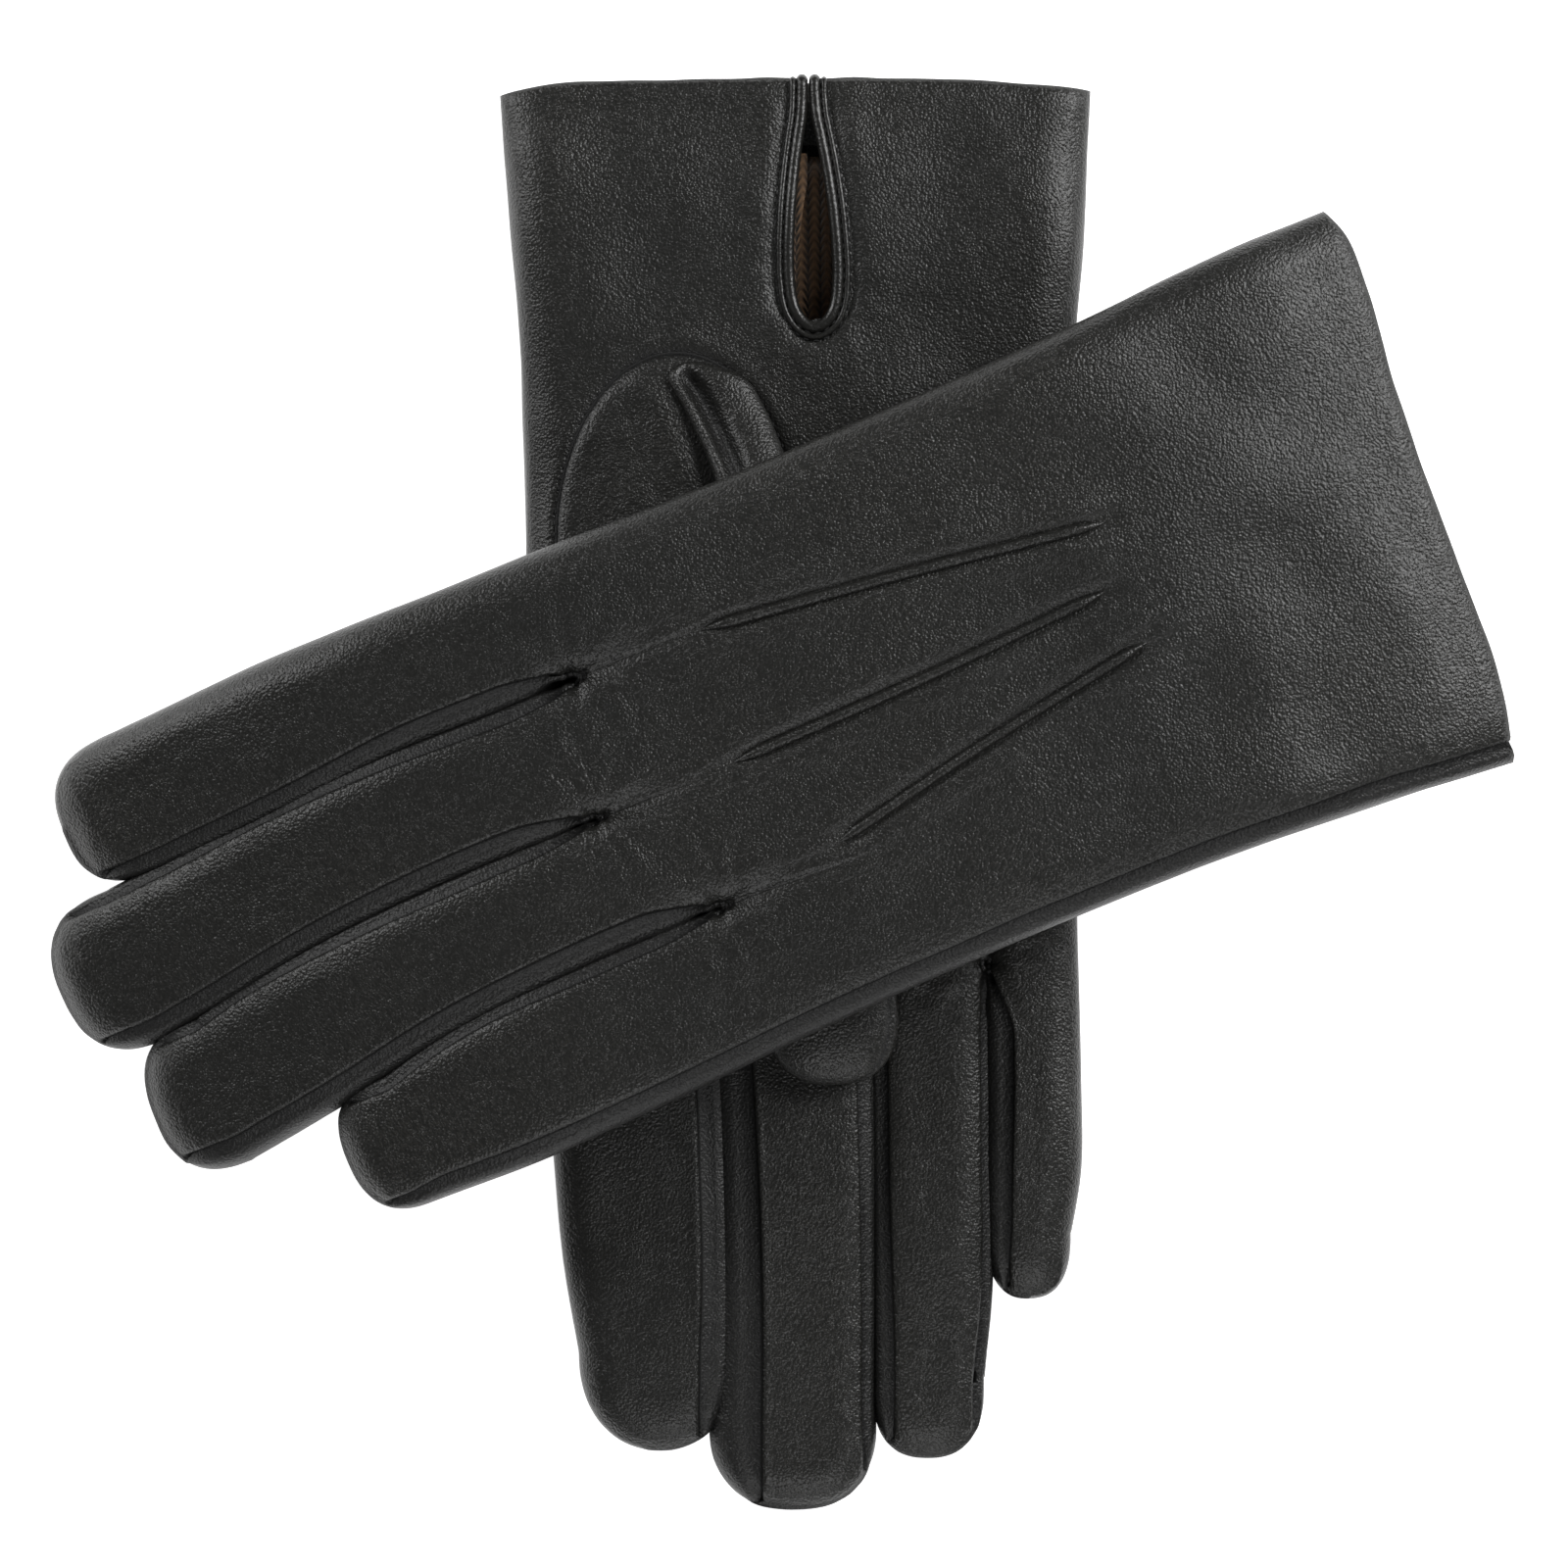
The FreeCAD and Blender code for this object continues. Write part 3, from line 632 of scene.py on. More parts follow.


# %% [markdown]
# ## Hides
# The whole hide of a glove is shaped in one go, so its surface runs on across the knuckles. Then it
# is cut into the hand and four finger ends, because each finger bends on its own. The normals of the
# whole hide are kept on the pieces, so the cuts don't show.

# %% Helpers that make a mesh into a piece
def address_of(mesh):
    """Columns, rows, levels and finger numbers of a blank's vertices, and which lip of the vent."""
    co = np.empty(len(mesh.vertices) * 3)
    mesh.vertices.foreach_get("co", co)
    co = co.reshape(-1, 3)
    extra = {}
    for name in ("finger", "lip"):
        extra[name] = np.empty(len(mesh.vertices))
        mesh.attributes[name].data.foreach_get("value", extra[name])
    return (*co.T.copy(), np.round(extra["finger"])), extra["lip"]


def set_points(mesh, points):
    mesh.vertices.foreach_set("co", np.asarray(points, np.float32).ravel())
    mesh.update()


def get_vectors(mesh, what="vertices"):
    """The places of a mesh's vertices, or its vertex normals, as an array."""
    out = np.empty(len(mesh.vertices) * 3, np.float32)
    getattr(mesh, what).foreach_get("vector" if what == "vertex_normals" else "co", out)
    return out.reshape(-1, 3)


def keep_value(mesh, name, values):
    """Store one number for each vertex, for the materials and the later steps to read."""
    attribute = mesh.attributes.get(name) or mesh.attributes.new(name, "FLOAT", "POINT")
    attribute.data.foreach_set("value", np.asarray(values, np.float32))


ON_TABLE = 0.1 * MM      # the lowest that any piece reaches


def new_piece(name, mesh, slot, nodes=()):
    """A finished mesh as an object with its slot's finish. The CAD nodes it stands for are hidden."""
    mesh.name = name
    piece = bpy.data.objects.new(name, mesh)
    bpy.context.scene.collection.objects.link(piece)
    mesh.materials.clear()
    mesh.materials.append(FINISH[slot])
    mesh.polygons.foreach_set("use_smooth", [True] * len(mesh.polygons))
    places = get_vectors(mesh)
    if places[:, 2].min() < ON_TABLE:      # what lies under a glove is pressed flat on the table
        places[:, 2] = np.maximum(places[:, 2], ON_TABLE)
        set_points(mesh, places)
    mesh.update()
    if nodes:
        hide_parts(*nodes)
    return piece


def bend_frame(side, finger):
    """Where a finger bends: u of the line, a point on it, and the direction of the finger."""
    joint = next(j for j in record["behaviour"]["joints"] if j["name"] == "%s_%s_bend" % (side, finger))
    origin, along, _ = GLOVES[side]
    at = Vector(joint["pos_m"])
    forward = Vector(joint["axis"]).normalized().cross(Vector((0, 0, 1)))
    if forward.dot(along) < 0:
        forward = -forward
    return (at - origin).dot(along) / MM, at, forward.normalized()


BENDS = {(side, finger): bend_frame(side, finger) for side in SIDES for finger in FINGERS}
CUT_BEFORE = 13.0        # a finger end starts this far before its bend


def follow(piece, side, finger=None):
    """The piece rides on its hand; a finger's end only has its place baked into its mesh."""
    if finger is None:
        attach(piece, side + "_glove")
        return
    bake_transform(piece)


def cut_row(side, finger):
    """The row of the blank where a finger's end is cut from the hand."""
    u = BENDS[side, finger][0] - CUT_BEFORE
    if u < HAND_END:
        return round(u / HAND_END * ROWS_HAND)
    tip = SHAPE[side][finger]["tip"]
    return ROWS_HAND + round((u - HAND_END) / (tip - HAND_END) * ROWS_FINGER)


# %% Cut a whole hide or lining into its pieces
def divide(mesh, side):
    """Cuts the hide of a glove into the hand (key None) and its four finger ends."""
    normals = get_vectors(mesh, "vertex_normals")
    attribute = mesh.attributes.new("whole_normal", "FLOAT_VECTOR", "POINT")
    attribute.data.foreach_set("vector", normals.ravel())
    row = np.empty(len(mesh.vertices), np.float32)
    finger = np.empty(len(mesh.vertices), np.float32)
    mesh.attributes["row"].data.foreach_get("value", row)
    mesh.attributes["finger"].data.foreach_get("value", finger)
    cuts = np.array([cut_row(side, name) for name in FINGERS])
    end = row >= cuts[np.round(finger).astype(int)] - 0.01
    corner = np.empty(len(mesh.loops), np.int32)
    mesh.loops.foreach_get("vertex_index", corner)
    first = np.empty(len(mesh.polygons), np.int32)
    mesh.polygons.foreach_get("loop_start", first)
    in_end = np.minimum.reduceat(end[corner].astype(int), first)
    owner = np.where(in_end == 1, np.round(finger[corner[first]]).astype(int), -1)
    parts = {}
    for key in (-1, 0, 1, 2, 3):
        bm = bmesh.new()
        bm.from_mesh(mesh)
        others = [face for face, own in zip(bm.faces, owner) if own != key]
        bmesh.ops.delete(bm, geom=others, context="FACES")
        part = to_mesh(bm)
        kept = np.empty(len(part.vertices) * 3, np.float32)
        part.attributes["whole_normal"].data.foreach_get("vector", kept)
        part.polygons.foreach_set("use_smooth", [True] * len(part.polygons))
        part.normals_split_custom_set_from_vertices(kept.reshape(-1, 3).tolist())
        parts[FINGERS[key] if key >= 0 else None] = part
    return parts


# %% [markdown]
# ## Finishes
# Dress leather has a fine pebbled grain, drawn out where the hide is stretched. It is dyed through,
# so the colour hardly changes, but handling polishes the raised parts and the seams stay dull. The
# seams, the walls between the fingers and the hollows round the thumb are coloured near black: partly
# the seams' own darkness and partly painted shade. The grain is one node group that every leather
# finish uses. The knit's ribs and the thread's twist have groups of their own.

# %% Node helpers
def node(tree, kind, inputs=None, **settings):
    made = tree.nodes.new(kind)
    for key, value in settings.items():
        setattr(made, key, value)
    for key, value in (inputs or {}).items():
        if isinstance(value, bpy.types.NodeSocket):
            tree.links.new(value, made.inputs[key])
        else:
            made.inputs[key].default_value = value
    return made


def math_node(tree, operation, a, b=0.0):
    return node(tree, "ShaderNodeMath", {0: a, 1: b}, operation=operation).outputs[0]


def mix_colors(tree, share, a, b):
    return node(tree, "ShaderNodeMix", {0: share, 6: a, 7: b}, data_type="RGBA").outputs[2]


def stretch(tree, value, low, high):
    """The value as a share of the way from low to high."""
    return node(tree, "ShaderNodeMapRange", {"Value": value, 1: low, 2: high}).outputs[0]


def noise_node(tree, place, scale, detail, **settings):
    return node(tree, "ShaderNodeTexNoise", {"Vector": place, "Scale": scale, "Detail": detail}, **settings)


def new_group(name, inputs, outputs):
    """An empty node group with named sockets: inputs are (name, kind, value), outputs (name, kind)."""
    group = bpy.data.node_groups.new(name, "ShaderNodeTree")
    for label, kind, value in inputs:
        socket = group.interface.new_socket(label, in_out="INPUT", socket_type=kind)
        socket.default_value = value
    for label, kind in outputs:
        group.interface.new_socket(label, in_out="OUTPUT", socket_type=kind)
    return group, group.nodes.new("NodeGroupInput"), group.nodes.new("NodeGroupOutput")


def leather_grain():
    """Pebbles, pores and soft creases of a fine hide, its uneven dye, its polish, and painted shade in its
    seams and hollows.
    """
    group, given, out = new_group("leather_grain", (
        ("Grain", "NodeSocketFloat", 2300.0), ("Dye", "NodeSocketColor", (0.0095, 0.0095, 0.0085, 1)),
        ("Polish", "NodeSocketColor", (0.03, 0.029, 0.026, 1)), ("Roughness", "NodeSocketFloat", 0.45)),
        (("Height", "NodeSocketFloat"), ("Color", "NodeSocketColor"), ("Roughness", "NodeSocketFloat")))
    place = node(group, "ShaderNodeTexCoord").outputs["Object"]
    warp = noise_node(group, place, 260.0, 2.0)
    moved = node(group, "ShaderNodeVectorMath", {0: warp.outputs["Color"], 1: (0.5, 0.5, 0.5)},
                 operation="SUBTRACT")
    moved = node(group, "ShaderNodeVectorMath", {0: moved.outputs[0], "Scale": 0.0007}, operation="SCALE")
    warped = node(group, "ShaderNodeVectorMath", {0: place, 1: moved.outputs[0]}, operation="ADD")
    warped = warped.outputs[0]
    pebbles = node(group, "ShaderNodeTexVoronoi", {"Vector": warped, "Scale": given.outputs["Grain"],
                                                   "Randomness": 0.9}, feature="SMOOTH_F1")
    pebbles = pebbles.outputs["Distance"]
    fine = node(group, "ShaderNodeTexNoise", {"Vector": warped, "Scale": 3600.0, "Detail": 3.0,
                                              "Roughness": 0.6})
    creases = node(group, "ShaderNodeTexNoise", {"Vector": warped, "Scale": 900.0, "Detail": 4.0,
                                                 "Roughness": 0.55}, noise_type="RIDGED_MULTIFRACTAL")
    broad = noise_node(group, place, 22.0, 4.0)
    seam_dark_and_painted_shade = node(group, "ShaderNodeAttribute", attribute_name="seam_dark_and_painted_shade").outputs["Fac"]
    height = math_node(group, "MULTIPLY", pebbles, -0.9)
    height = math_node(group, "ADD", height, math_node(group, "MULTIPLY", fine.outputs[0], 0.35))
    height = math_node(group, "SUBTRACT", height, math_node(group, "MULTIPLY", creases.outputs[0], 0.05))
    worn = stretch(group, broad.outputs[0], 0.35, 0.72)
    crown = stretch(group, pebbles, 0.55, 0.1)
    rub = math_node(group, "MULTIPLY", worn, crown)
    dyed = mix_colors(group, rub, given.outputs["Dye"], given.outputs["Polish"])
    # Painted shade, with the seams' own darkness: the colour goes almost black along the seams, on the walls
    # between the fingers and round the thumb, where the vertex value marks them.
    dark = mix_colors(group, seam_dark_and_painted_shade, dyed, (0.004, 0.004, 0.004, 1))
    dull = math_node(group, "MULTIPLY", seam_dark_and_painted_shade, 0.15)
    rough = math_node(group, "ADD", given.outputs["Roughness"], dull)
    rough = math_node(group, "SUBTRACT", rough, math_node(group, "MULTIPLY", rub, 0.1))
    group.links.new(height, out.inputs["Height"])
    group.links.new(dark, out.inputs["Color"])
    group.links.new(rough, out.inputs["Roughness"])
    return group


def knit_ribs():
    """Rows of knitted stitches: ribs along the hand, each a chain of small loops, with painted shade between
    them.
    """
    group, given, out = new_group("knit_ribs", (
        ("Rib", "NodeSocketFloat", 0.0021), ("Yarn", "NodeSocketColor", (0.15, 0.085, 0.042, 1))),
        (("Height", "NodeSocketFloat"), ("Color", "NodeSocketColor")))
    across = node(group, "ShaderNodeAttribute", attribute_name="across").outputs["Fac"]
    along = node(group, "ShaderNodeAttribute", attribute_name="along").outputs["Fac"]
    rib = math_node(group, "MULTIPLY", math_node(group, "DIVIDE", across, given.outputs["Rib"]), math.pi)
    wave = math_node(group, "ABSOLUTE", math_node(group, "SINE", rib))
    lean = math_node(group, "ADD", math_node(group, "DIVIDE", along, 0.0016), wave)
    loops = math_node(group, "SINE", math_node(group, "MULTIPLY", lean, 2 * math.pi))
    place = node(group, "ShaderNodeTexCoord").outputs["Object"]
    fuzz = noise_node(group, place, 1500.0, 3.0).outputs[0]
    height = math_node(group, "ADD", wave, math_node(group, "MULTIPLY", loops, 0.3))
    height = math_node(group, "ADD", height, math_node(group, "MULTIPLY", fuzz, 0.3))
    # Painted shade: the low parts between the ribs and loops are coloured almost black, and the raised yarn
    # takes the yarn's colour.
    painted_rib_light = stretch(group, height, 0.2, 1.3)
    color = mix_colors(group, painted_rib_light, (0.022, 0.013, 0.007, 1), given.outputs["Yarn"])
    group.links.new(height, out.inputs["Height"])
    group.links.new(color, out.inputs["Color"])
    return group


def twisted_yarn():
    """The turns of a sewing thread."""
    group, given, out = new_group("twisted_yarn", (("Pitch", "NodeSocketFloat", 2600.0),),
                                  (("Height", "NodeSocketFloat"), ("Color", "NodeSocketColor")))
    place = node(group, "ShaderNodeTexCoord").outputs["Object"]
    turns = node(group, "ShaderNodeTexWave", {"Vector": place, "Scale": given.outputs["Pitch"],
                                              "Distortion": 1.5}, bands_direction="DIAGONAL")
    color = mix_colors(group, turns.outputs["Fac"], (0.003, 0.003, 0.003, 1), (0.009, 0.009, 0.009, 1))
    group.links.new(turns.outputs["Fac"], out.inputs["Height"])
    group.links.new(color, out.inputs["Color"])
    return group


def new_material(name, group, values, bump, roughness):
    """A Principled finish fed by one node group, with a bump of so many metres."""
    material = bpy.data.materials.new(name)
    material.use_nodes = True
    tree = material.node_tree
    shader = tree.nodes["Principled BSDF"]
    effect = node(tree, "ShaderNodeGroup", node_tree=group)
    for label, value in values.items():
        effect.inputs[label].default_value = value
    tree.links.new(effect.outputs["Color"], shader.inputs["Base Color"])
    if roughness is None:
        tree.links.new(effect.outputs["Roughness"], shader.inputs["Roughness"])
    else:
        shader.inputs["Roughness"].default_value = roughness
    height = node(tree, "ShaderNodeBump", {"Height": effect.outputs["Height"], "Strength": 1.0,
                                           "Distance": bump})
    tree.links.new(height.outputs["Normal"], shader.inputs["Normal"])
    return material


GRAIN = leather_grain()
FINISH = {}
for slot, group, values, bump, roughness in (
        ("black_leather", GRAIN, {"Roughness": 0.35}, 0.18 * MM, None),
        ("binding_leather", GRAIN, {"Roughness": 0.32, "Grain": 2200.0}, 0.07 * MM, None),
        ("brown_knit", knit_ribs(), {}, 0.4 * MM, 0.9),
        ("black_thread", twisted_yarn(), {}, 0.05 * MM, 0.75)):
    FINISH[slot] = new_material(slot, group, values, bump, roughness)
FINISH["brown_knit"].node_tree.nodes["Principled BSDF"].inputs["Sheen Weight"].default_value = 0.3
print("finishes:", list(FINISH))

# %% Shape both hides
HAND_NODES = ("trank", "fourchette_index_middle", "fourchette_middle_ring", "fourchette_ring_little",
              "cuff_facing")
END_NODES = ("tip", "tip_fourchettes")
SEAMS = {}          # the lines that the thread follows, by side, finger, edge and face


def shaped_mesh(side, hem, shrink):
    """A whole hide or lining, shaped, with its addresses kept as attributes."""
    mesh = to_mesh(blank(side, hem, shrink))
    address, lip = address_of(mesh)
    u, v, w, seam = shaped(side, address, shrink, lip)
    set_points(mesh, lay(side, u, v, w))
    palm_up = get_vectors(mesh, "vertex_normals")[address[2] > 0.99, 2].mean()
    if palm_up * FACE[side] < 0:      # one glove of the pair comes out mirrored, so inside out
        mesh.flip_normals()
    keep_value(mesh, "row", address[1])
    return mesh, address, u, v, w, seam


def make_pieces(side, mesh, slot, hand_name, end_name, hand_nodes, end_nodes):
    """The hand and the four finger ends of a whole hide or lining, as separate pieces."""
    for finger, part in divide(mesh, side).items():
        if finger is None:
            name, nodes = side + hand_name, ["%s_%s" % (side, n) for n in hand_nodes]
        else:
            name = "%s_%s%s" % (side, finger, end_name)
            nodes = ["%s_%s_%s" % (side, finger, n) for n in end_nodes]
        follow(new_piece(name, part, slot, nodes), side, finger)
        print(name, len(part.polygons), "faces")
    bpy.data.meshes.remove(mesh)


def record_seams(side, address, points, normals):
    """Keeps the lines where two pieces of hide are sewn, from the fork or cuff to the fingertip."""
    column, row, level, finger = address
    for f, name in enumerate(FINGERS):
        for edge, sign in (("left", 0), ("right", 1)):
            for face, w in (("palm", 1), ("back", -1)):
                outer = (name == "index" and edge == "left") or (name == "little" and edge == "right")
                if outer and (name == "index" or face == "palm"):
                    continue
                at_fork = 0 if outer else CROTCH[side][f - 1 if edge == "left" else f][0]
                start = at_fork / HAND_END * ROWS_HAND + 2
                on = (finger == f) & (row > start) & (np.abs(level - w) < 0.01)
                on &= np.abs(column - (f + sign) * COLUMNS) < 0.01
                order = np.argsort(row[on])
                SEAMS[side, name, edge, face] = [a[on][order] for a in (points, normals, row)]


for side in SIDES:
    mesh, address, u, v, w, seam = shaped_mesh(side, True, 0.0)
    level = address[2]
    lift = relief(side, u, v, level, seam) * (address[1] >= 0)      # the hem inside the cuff stays smooth
    normals = get_vectors(mesh, "vertex_normals")
    sideways = np.clip(np.abs(level), 0.35, 1)
    points = get_vectors(mesh) + normals * (lift * sideways * MM)[:, None]
    points[:, 2] = np.maximum(points[:, 2], 2 * ON_TABLE)
    set_points(mesh, points)
    # Painted shade: the seams, the fourchette walls between the fingers and the rim of the arch seam are
    # marked to be coloured darker, as the shade in those grooves; the seams are partly dark of themselves.
    arch = np.where(level > 0.5, ridge(np.clip(oval_distance(u, v), 0, None), 0.6), 0)
    painted_wall_shade = 0.6 * (np.abs(level) < 0.999) * (seam < NO_SEAM)
    keep_value(mesh, "seam_dark_and_painted_shade", np.maximum(np.maximum(ridge(seam, 0.55), painted_wall_shade), arch))
    record_seams(side, address, points, get_vectors(mesh, "vertex_normals"))
    make_pieces(side, mesh, "black_leather", "_hand_hide", "_end", HAND_NODES, END_NODES)

# %% [markdown]
# ## Lining
# The lining is a knitted glove inside the hide. It is the same blank, shaped a little smaller and
# started behind the hem, so it follows every finger with an even gap. Its ribs run along the hand,
# so the pattern's own coordinates are kept as attributes for the knit to follow.

# %% Shape both linings
LINING_INSET = 1.6
LINING_START = HEM_DEPTH - 1.0
STRETCH_TO = 60.0        # u up to which the lining is pressed together to start behind the hem
RAISED = 4.6             # its far face, under the open vent
for side in SIDES:
    mesh, address, u, v, w, _ = shaped_mesh(side, False, LINING_INSET)
    pressed = LINING_START + (u + 3) * (STRETCH_TO - LINING_START) / (STRETCH_TO + 3)
    u = np.where(u < STRETCH_TO, pressed, u)
    under_vent = ridge(v - vent_middle(u), 6.5) * ease((u - 9) / 5) * (1 - ease((u - 45) / 10))
    w = w + address[2] * hills(side, u, v, address[2])
    w = np.where(address[2] < -0.5, w + RAISED * under_vent, w)
    set_points(mesh, lay(side, u, v, w))
    keep_value(mesh, "across", v * MM)
    keep_value(mesh, "along", u * MM)
    make_pieces(side, mesh, "brown_knit", "_hand_lining_knit", "_lining_knit",
                ["hand_lining"], ["tip_lining"])

# %% [markdown]
# ## Thumb
# The thumb's stall is a tube of hide whose base fills the arch in the palm. Folded in, it makes a
# tongue that rises out of the base at a sharp crease, sinks a little behind the crease, and lies
# flat along the palm. A ring of edges is extruded row by row, and each row takes its width and its
# height from a few points along the thumb.

# %% Thumb tongue
THUMB_LEFT = ((44.5, -20.6), (48.5, -20.5), (54.7, -17.2), (65.7, -12.3), (80, -9.4), (110, -6.2),
              (140, -4.0), (158, -3.0))
THUMB_RIGHT = ((44.5, -14.6), (48.7, -7.4), (54.7, -3.2), (61.5, -0.4), (70, 3.0), (85, 7.6),
               (110, 13.4), (135, 17.4), (158, 19.6))
THUMB_START, THUMB_CAP, THUMB_END = 46.4, 158.5, 171.0      # u of the root, of the round tip and of its end
ROOT_MIDDLE, THUMB_MIDDLE = 6.2, 10.05                      # w of the tube's middle, at the root and beyond
ROOT_LENGTH = 3.6
SQUARE = 2.5             # of the tube's section: 2 is an ellipse, and more is squarer
SEAM_AT = 0.86           # the stall's seam, as a share of the way from its middle to its edge


def ring_tube(turns, rows):
    """A tube of rings: the angle round it and the ring's number are the address of a vertex."""
    bm = bmesh.new()
    bmesh.ops.create_circle(bm, cap_ends=False, segments=turns, radius=1.0)
    edge = bm.edges[:]
    for _ in range(rows):
        edge = extruded(bm, edge, (0, 0, 1))
    mesh = to_mesh(bm)
    co = get_vectors(mesh).astype(float)
    return mesh, np.arctan2(co[:, 1], co[:, 0]), co[:, 2] / rows


def close_ends(mesh):
    """Merges the points of the end rings and turns the faces outwards."""
    bm = bmesh.new()
    bm.from_mesh(mesh)
    bmesh.ops.remove_doubles(bm, verts=bm.verts, dist=1e-6)
    bmesh.ops.recalc_face_normals(bm, faces=bm.faces)
    bm.to_mesh(mesh)
    bm.free()


def thumb_mesh(side, shrink, turns, rows):
    """The stall, or with a shrink its lining, as a flattened tube closed at both ends."""
    mesh, turn, t = ring_tube(turns, rows)
    start, end = THUMB_START + shrink * 16, THUMB_END - shrink
    t = 0.5 - 0.5 * np.cos(t * math.pi) * (1 - 0.25 * np.sin(t * math.pi) ** 2)
    u = start + (end - start) * t
    clamped = np.clip(u, 45.0, THUMB_CAP)
    left, right = smooth_line(THUMB_LEFT, clamped), smooth_line(THUMB_RIGHT, clamped)
    middle, half = (left + right) / 2, (right - left) / 2 - shrink
    into = np.clip((u - THUMB_CAP) / (end - THUMB_CAP), 0, 1)
    root = (1 - np.clip((start + ROOT_LENGTH - u) / ROOT_LENGTH, 0, 1) ** 2) ** 0.5
    close = (1 - into ** SQUARE) ** (1 / SQUARE) * root
    thick = (1.7 + 2.45 * ease((u - 44) / 34.0) - shrink * 0.9) * (1 - into ** 2.2) ** (1 / 2.2) * root
    centre = ROOT_MIDDLE + (THUMB_MIDDLE - ROOT_MIDDLE) * ease((u - 47) / 30.0)
    x, y = (np.sign(a) * np.abs(a) ** (2 / SQUARE) for a in (np.cos(turn), np.sin(turn)))
    v = middle + x * half * close
    hollow = 2.6 * ridge(x + 0.42, 0.26) * ease((u - 46) / 5) * (1 - ease((u - 58) / 36))
    crease = 0.8 * ridge(x + SEAM_AT, 0.2) * ease((u - 46) / 4) * (1 - ease((u - 80) / 30))
    top = y > 0
    w = centre + y * thick + np.where(top, (crease - hollow) * np.abs(y) ** 0.5, 0)
    if not shrink:
        layer = np.full(u.shape, 70.0)
        seam_line = np.abs(x - SEAM_AT) * half
        uneven = 0.35 * noise_at(u, v, layer, 18, 11) + 0.12 * noise_at(u, v, layer, 2.8, 8)
        w = w + top * close * (uneven - 0.45 * ridge(seam_line, 0.5) * ease((u - 70) / 10))
        # Painted shade: the hollow behind the crease is marked to be coloured darker, as the shade in it, and
        # so is the stall's seam line, partly its own dark joint.
        painted_hollow_shade = 0.85 * (hollow / 2.6) ** 1.5
        keep_value(mesh, "seam_dark_and_painted_shade", top * np.maximum((u > 70) * ridge(seam_line, 0.4), painted_hollow_shade))
    set_points(mesh, lay(side, u, v, w))
    keep_value(mesh, "across", v * MM)
    keep_value(mesh, "along", u * MM)
    close_ends(mesh)
    return mesh


for side in SIDES:
    for shrink, turns, rows, name, slot, stands_for in (
            (0.0, 72, 120, "thumb_stall", "black_leather", "thumb"),
            (1.2, 40, 60, "thumb_lining_knit", "brown_knit", "thumb_lining")):
        piece = new_piece("%s_%s" % (side, name), thumb_mesh(side, shrink, turns, rows), slot,
                          ["%s_%s" % (side, stands_for)])
        start, end = (Vector(lay(side, u, v, THUMB_MIDDLE)) for u, v in ((66.0, -18.0), (98.0, -3.0)))
        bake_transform(piece)
        print(piece.name, len(piece.data.polygons), "faces")

# %% Thumb base, let into the arch
HIDE = 0.8               # the thickness of the leather


def base_mesh(side):
    """An oval cushion of hide, drawn down to the arch seam all round."""
    bm = bmesh.new()
    bmesh.ops.create_grid(bm, x_segments=90, y_segments=70, size=1.0)
    mesh = to_mesh(bm)
    co = get_vectors(mesh).astype(float)
    x, y = (np.sin(co[:, k] * math.pi / 2) for k in (0, 1))
    disc_x, disc_y = x * np.sqrt(1 - y * y / 2), y * np.sqrt(1 - x * x / 2)
    mu, mv, half_u, half_v = OVAL
    u, v = mu + disc_x * half_u, mv + disc_y * half_v
    d = -oval_distance(u, v)
    layer = np.full(u.shape, 90.0)
    w = THICK - 0.5 + pillow(d, 2.2, 2.3) + 0.9 * pillow(d, 16.0, 2.0)
    w += hills(side, u, v, layer) + 0.12 * noise_at(u, v, layer, 3.2, 7) * ease(d / 3)
    fold = v - smooth_line(THUMB_LEFT, np.clip(u, 45, 110))
    w += 0.5 * ridge(fold + 5.0, 3.0) * ease((u - 44) / 8) * ease(d / 2)
    w -= 2.4 * ease((fold - 0.9) / 1.4) * ease((u - 47.5) / 3.0)
    set_points(mesh, lay(side, u, v, w))
    # Painted shade: the rim of the cushion, down in the arch seam, is marked to be coloured darker.
    keep_value(mesh, "seam_dark_and_painted_shade", ridge(d, 0.45))
    bm = bmesh.new()
    bm.from_mesh(mesh)
    thickened(bm, bm.faces[:], (0, 0, -HIDE * MM * FACE[side]))
    bmesh.ops.recalc_face_normals(bm, faces=bm.faces)
    bm.to_mesh(mesh)
    bm.free()
    return mesh


for side in SIDES:
    piece = new_piece(side + "_thumb_oval", base_mesh(side), "black_leather", [side + "_thumb_base"])
    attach(piece, side + "_glove")
    print(piece.name, len(piece.data.polygons), "faces")

# %% [markdown]
# ## Vent binding and back points
# The vent's edge is bound with a narrow strip rolled to a cord, and it turns over the cuff's edge
# at both ends. The three points on the back are tucks: hide pinched up and sewn along one side.
# Both are tubes along a curve, made a mesh before they are placed.

# %% Rolls of hide
def roll_mesh(points, radii):
    """A mesh tube along points in metres, with a radius in metres at each."""
    curve = bpy.data.curves.new("roll", "CURVE")
    curve.dimensions = "3D"
    curve.bevel_depth = 1.0
    curve.bevel_resolution = 4
    curve.use_fill_caps = True
    spline = curve.splines.new("POLY")
    spline.points.add(len(points) - 1)
    for spot, place, radius in zip(spline.points, points, radii):
        spot.co = (*place, 1)
        spot.radius = radius
    carrier = bpy.data.objects.new("roll", curve)
    mesh = bpy.data.meshes.new_from_object(carrier)
    bpy.data.objects.remove(carrier)
    bpy.data.curves.remove(curve)
    return mesh


def join_meshes(meshes):
    bm = bmesh.new()
    for mesh in meshes:
        bm.from_mesh(mesh)
        bpy.data.meshes.remove(mesh)
    bmesh.ops.recalc_face_normals(bm, faces=bm.faces)
    return to_mesh(bm)


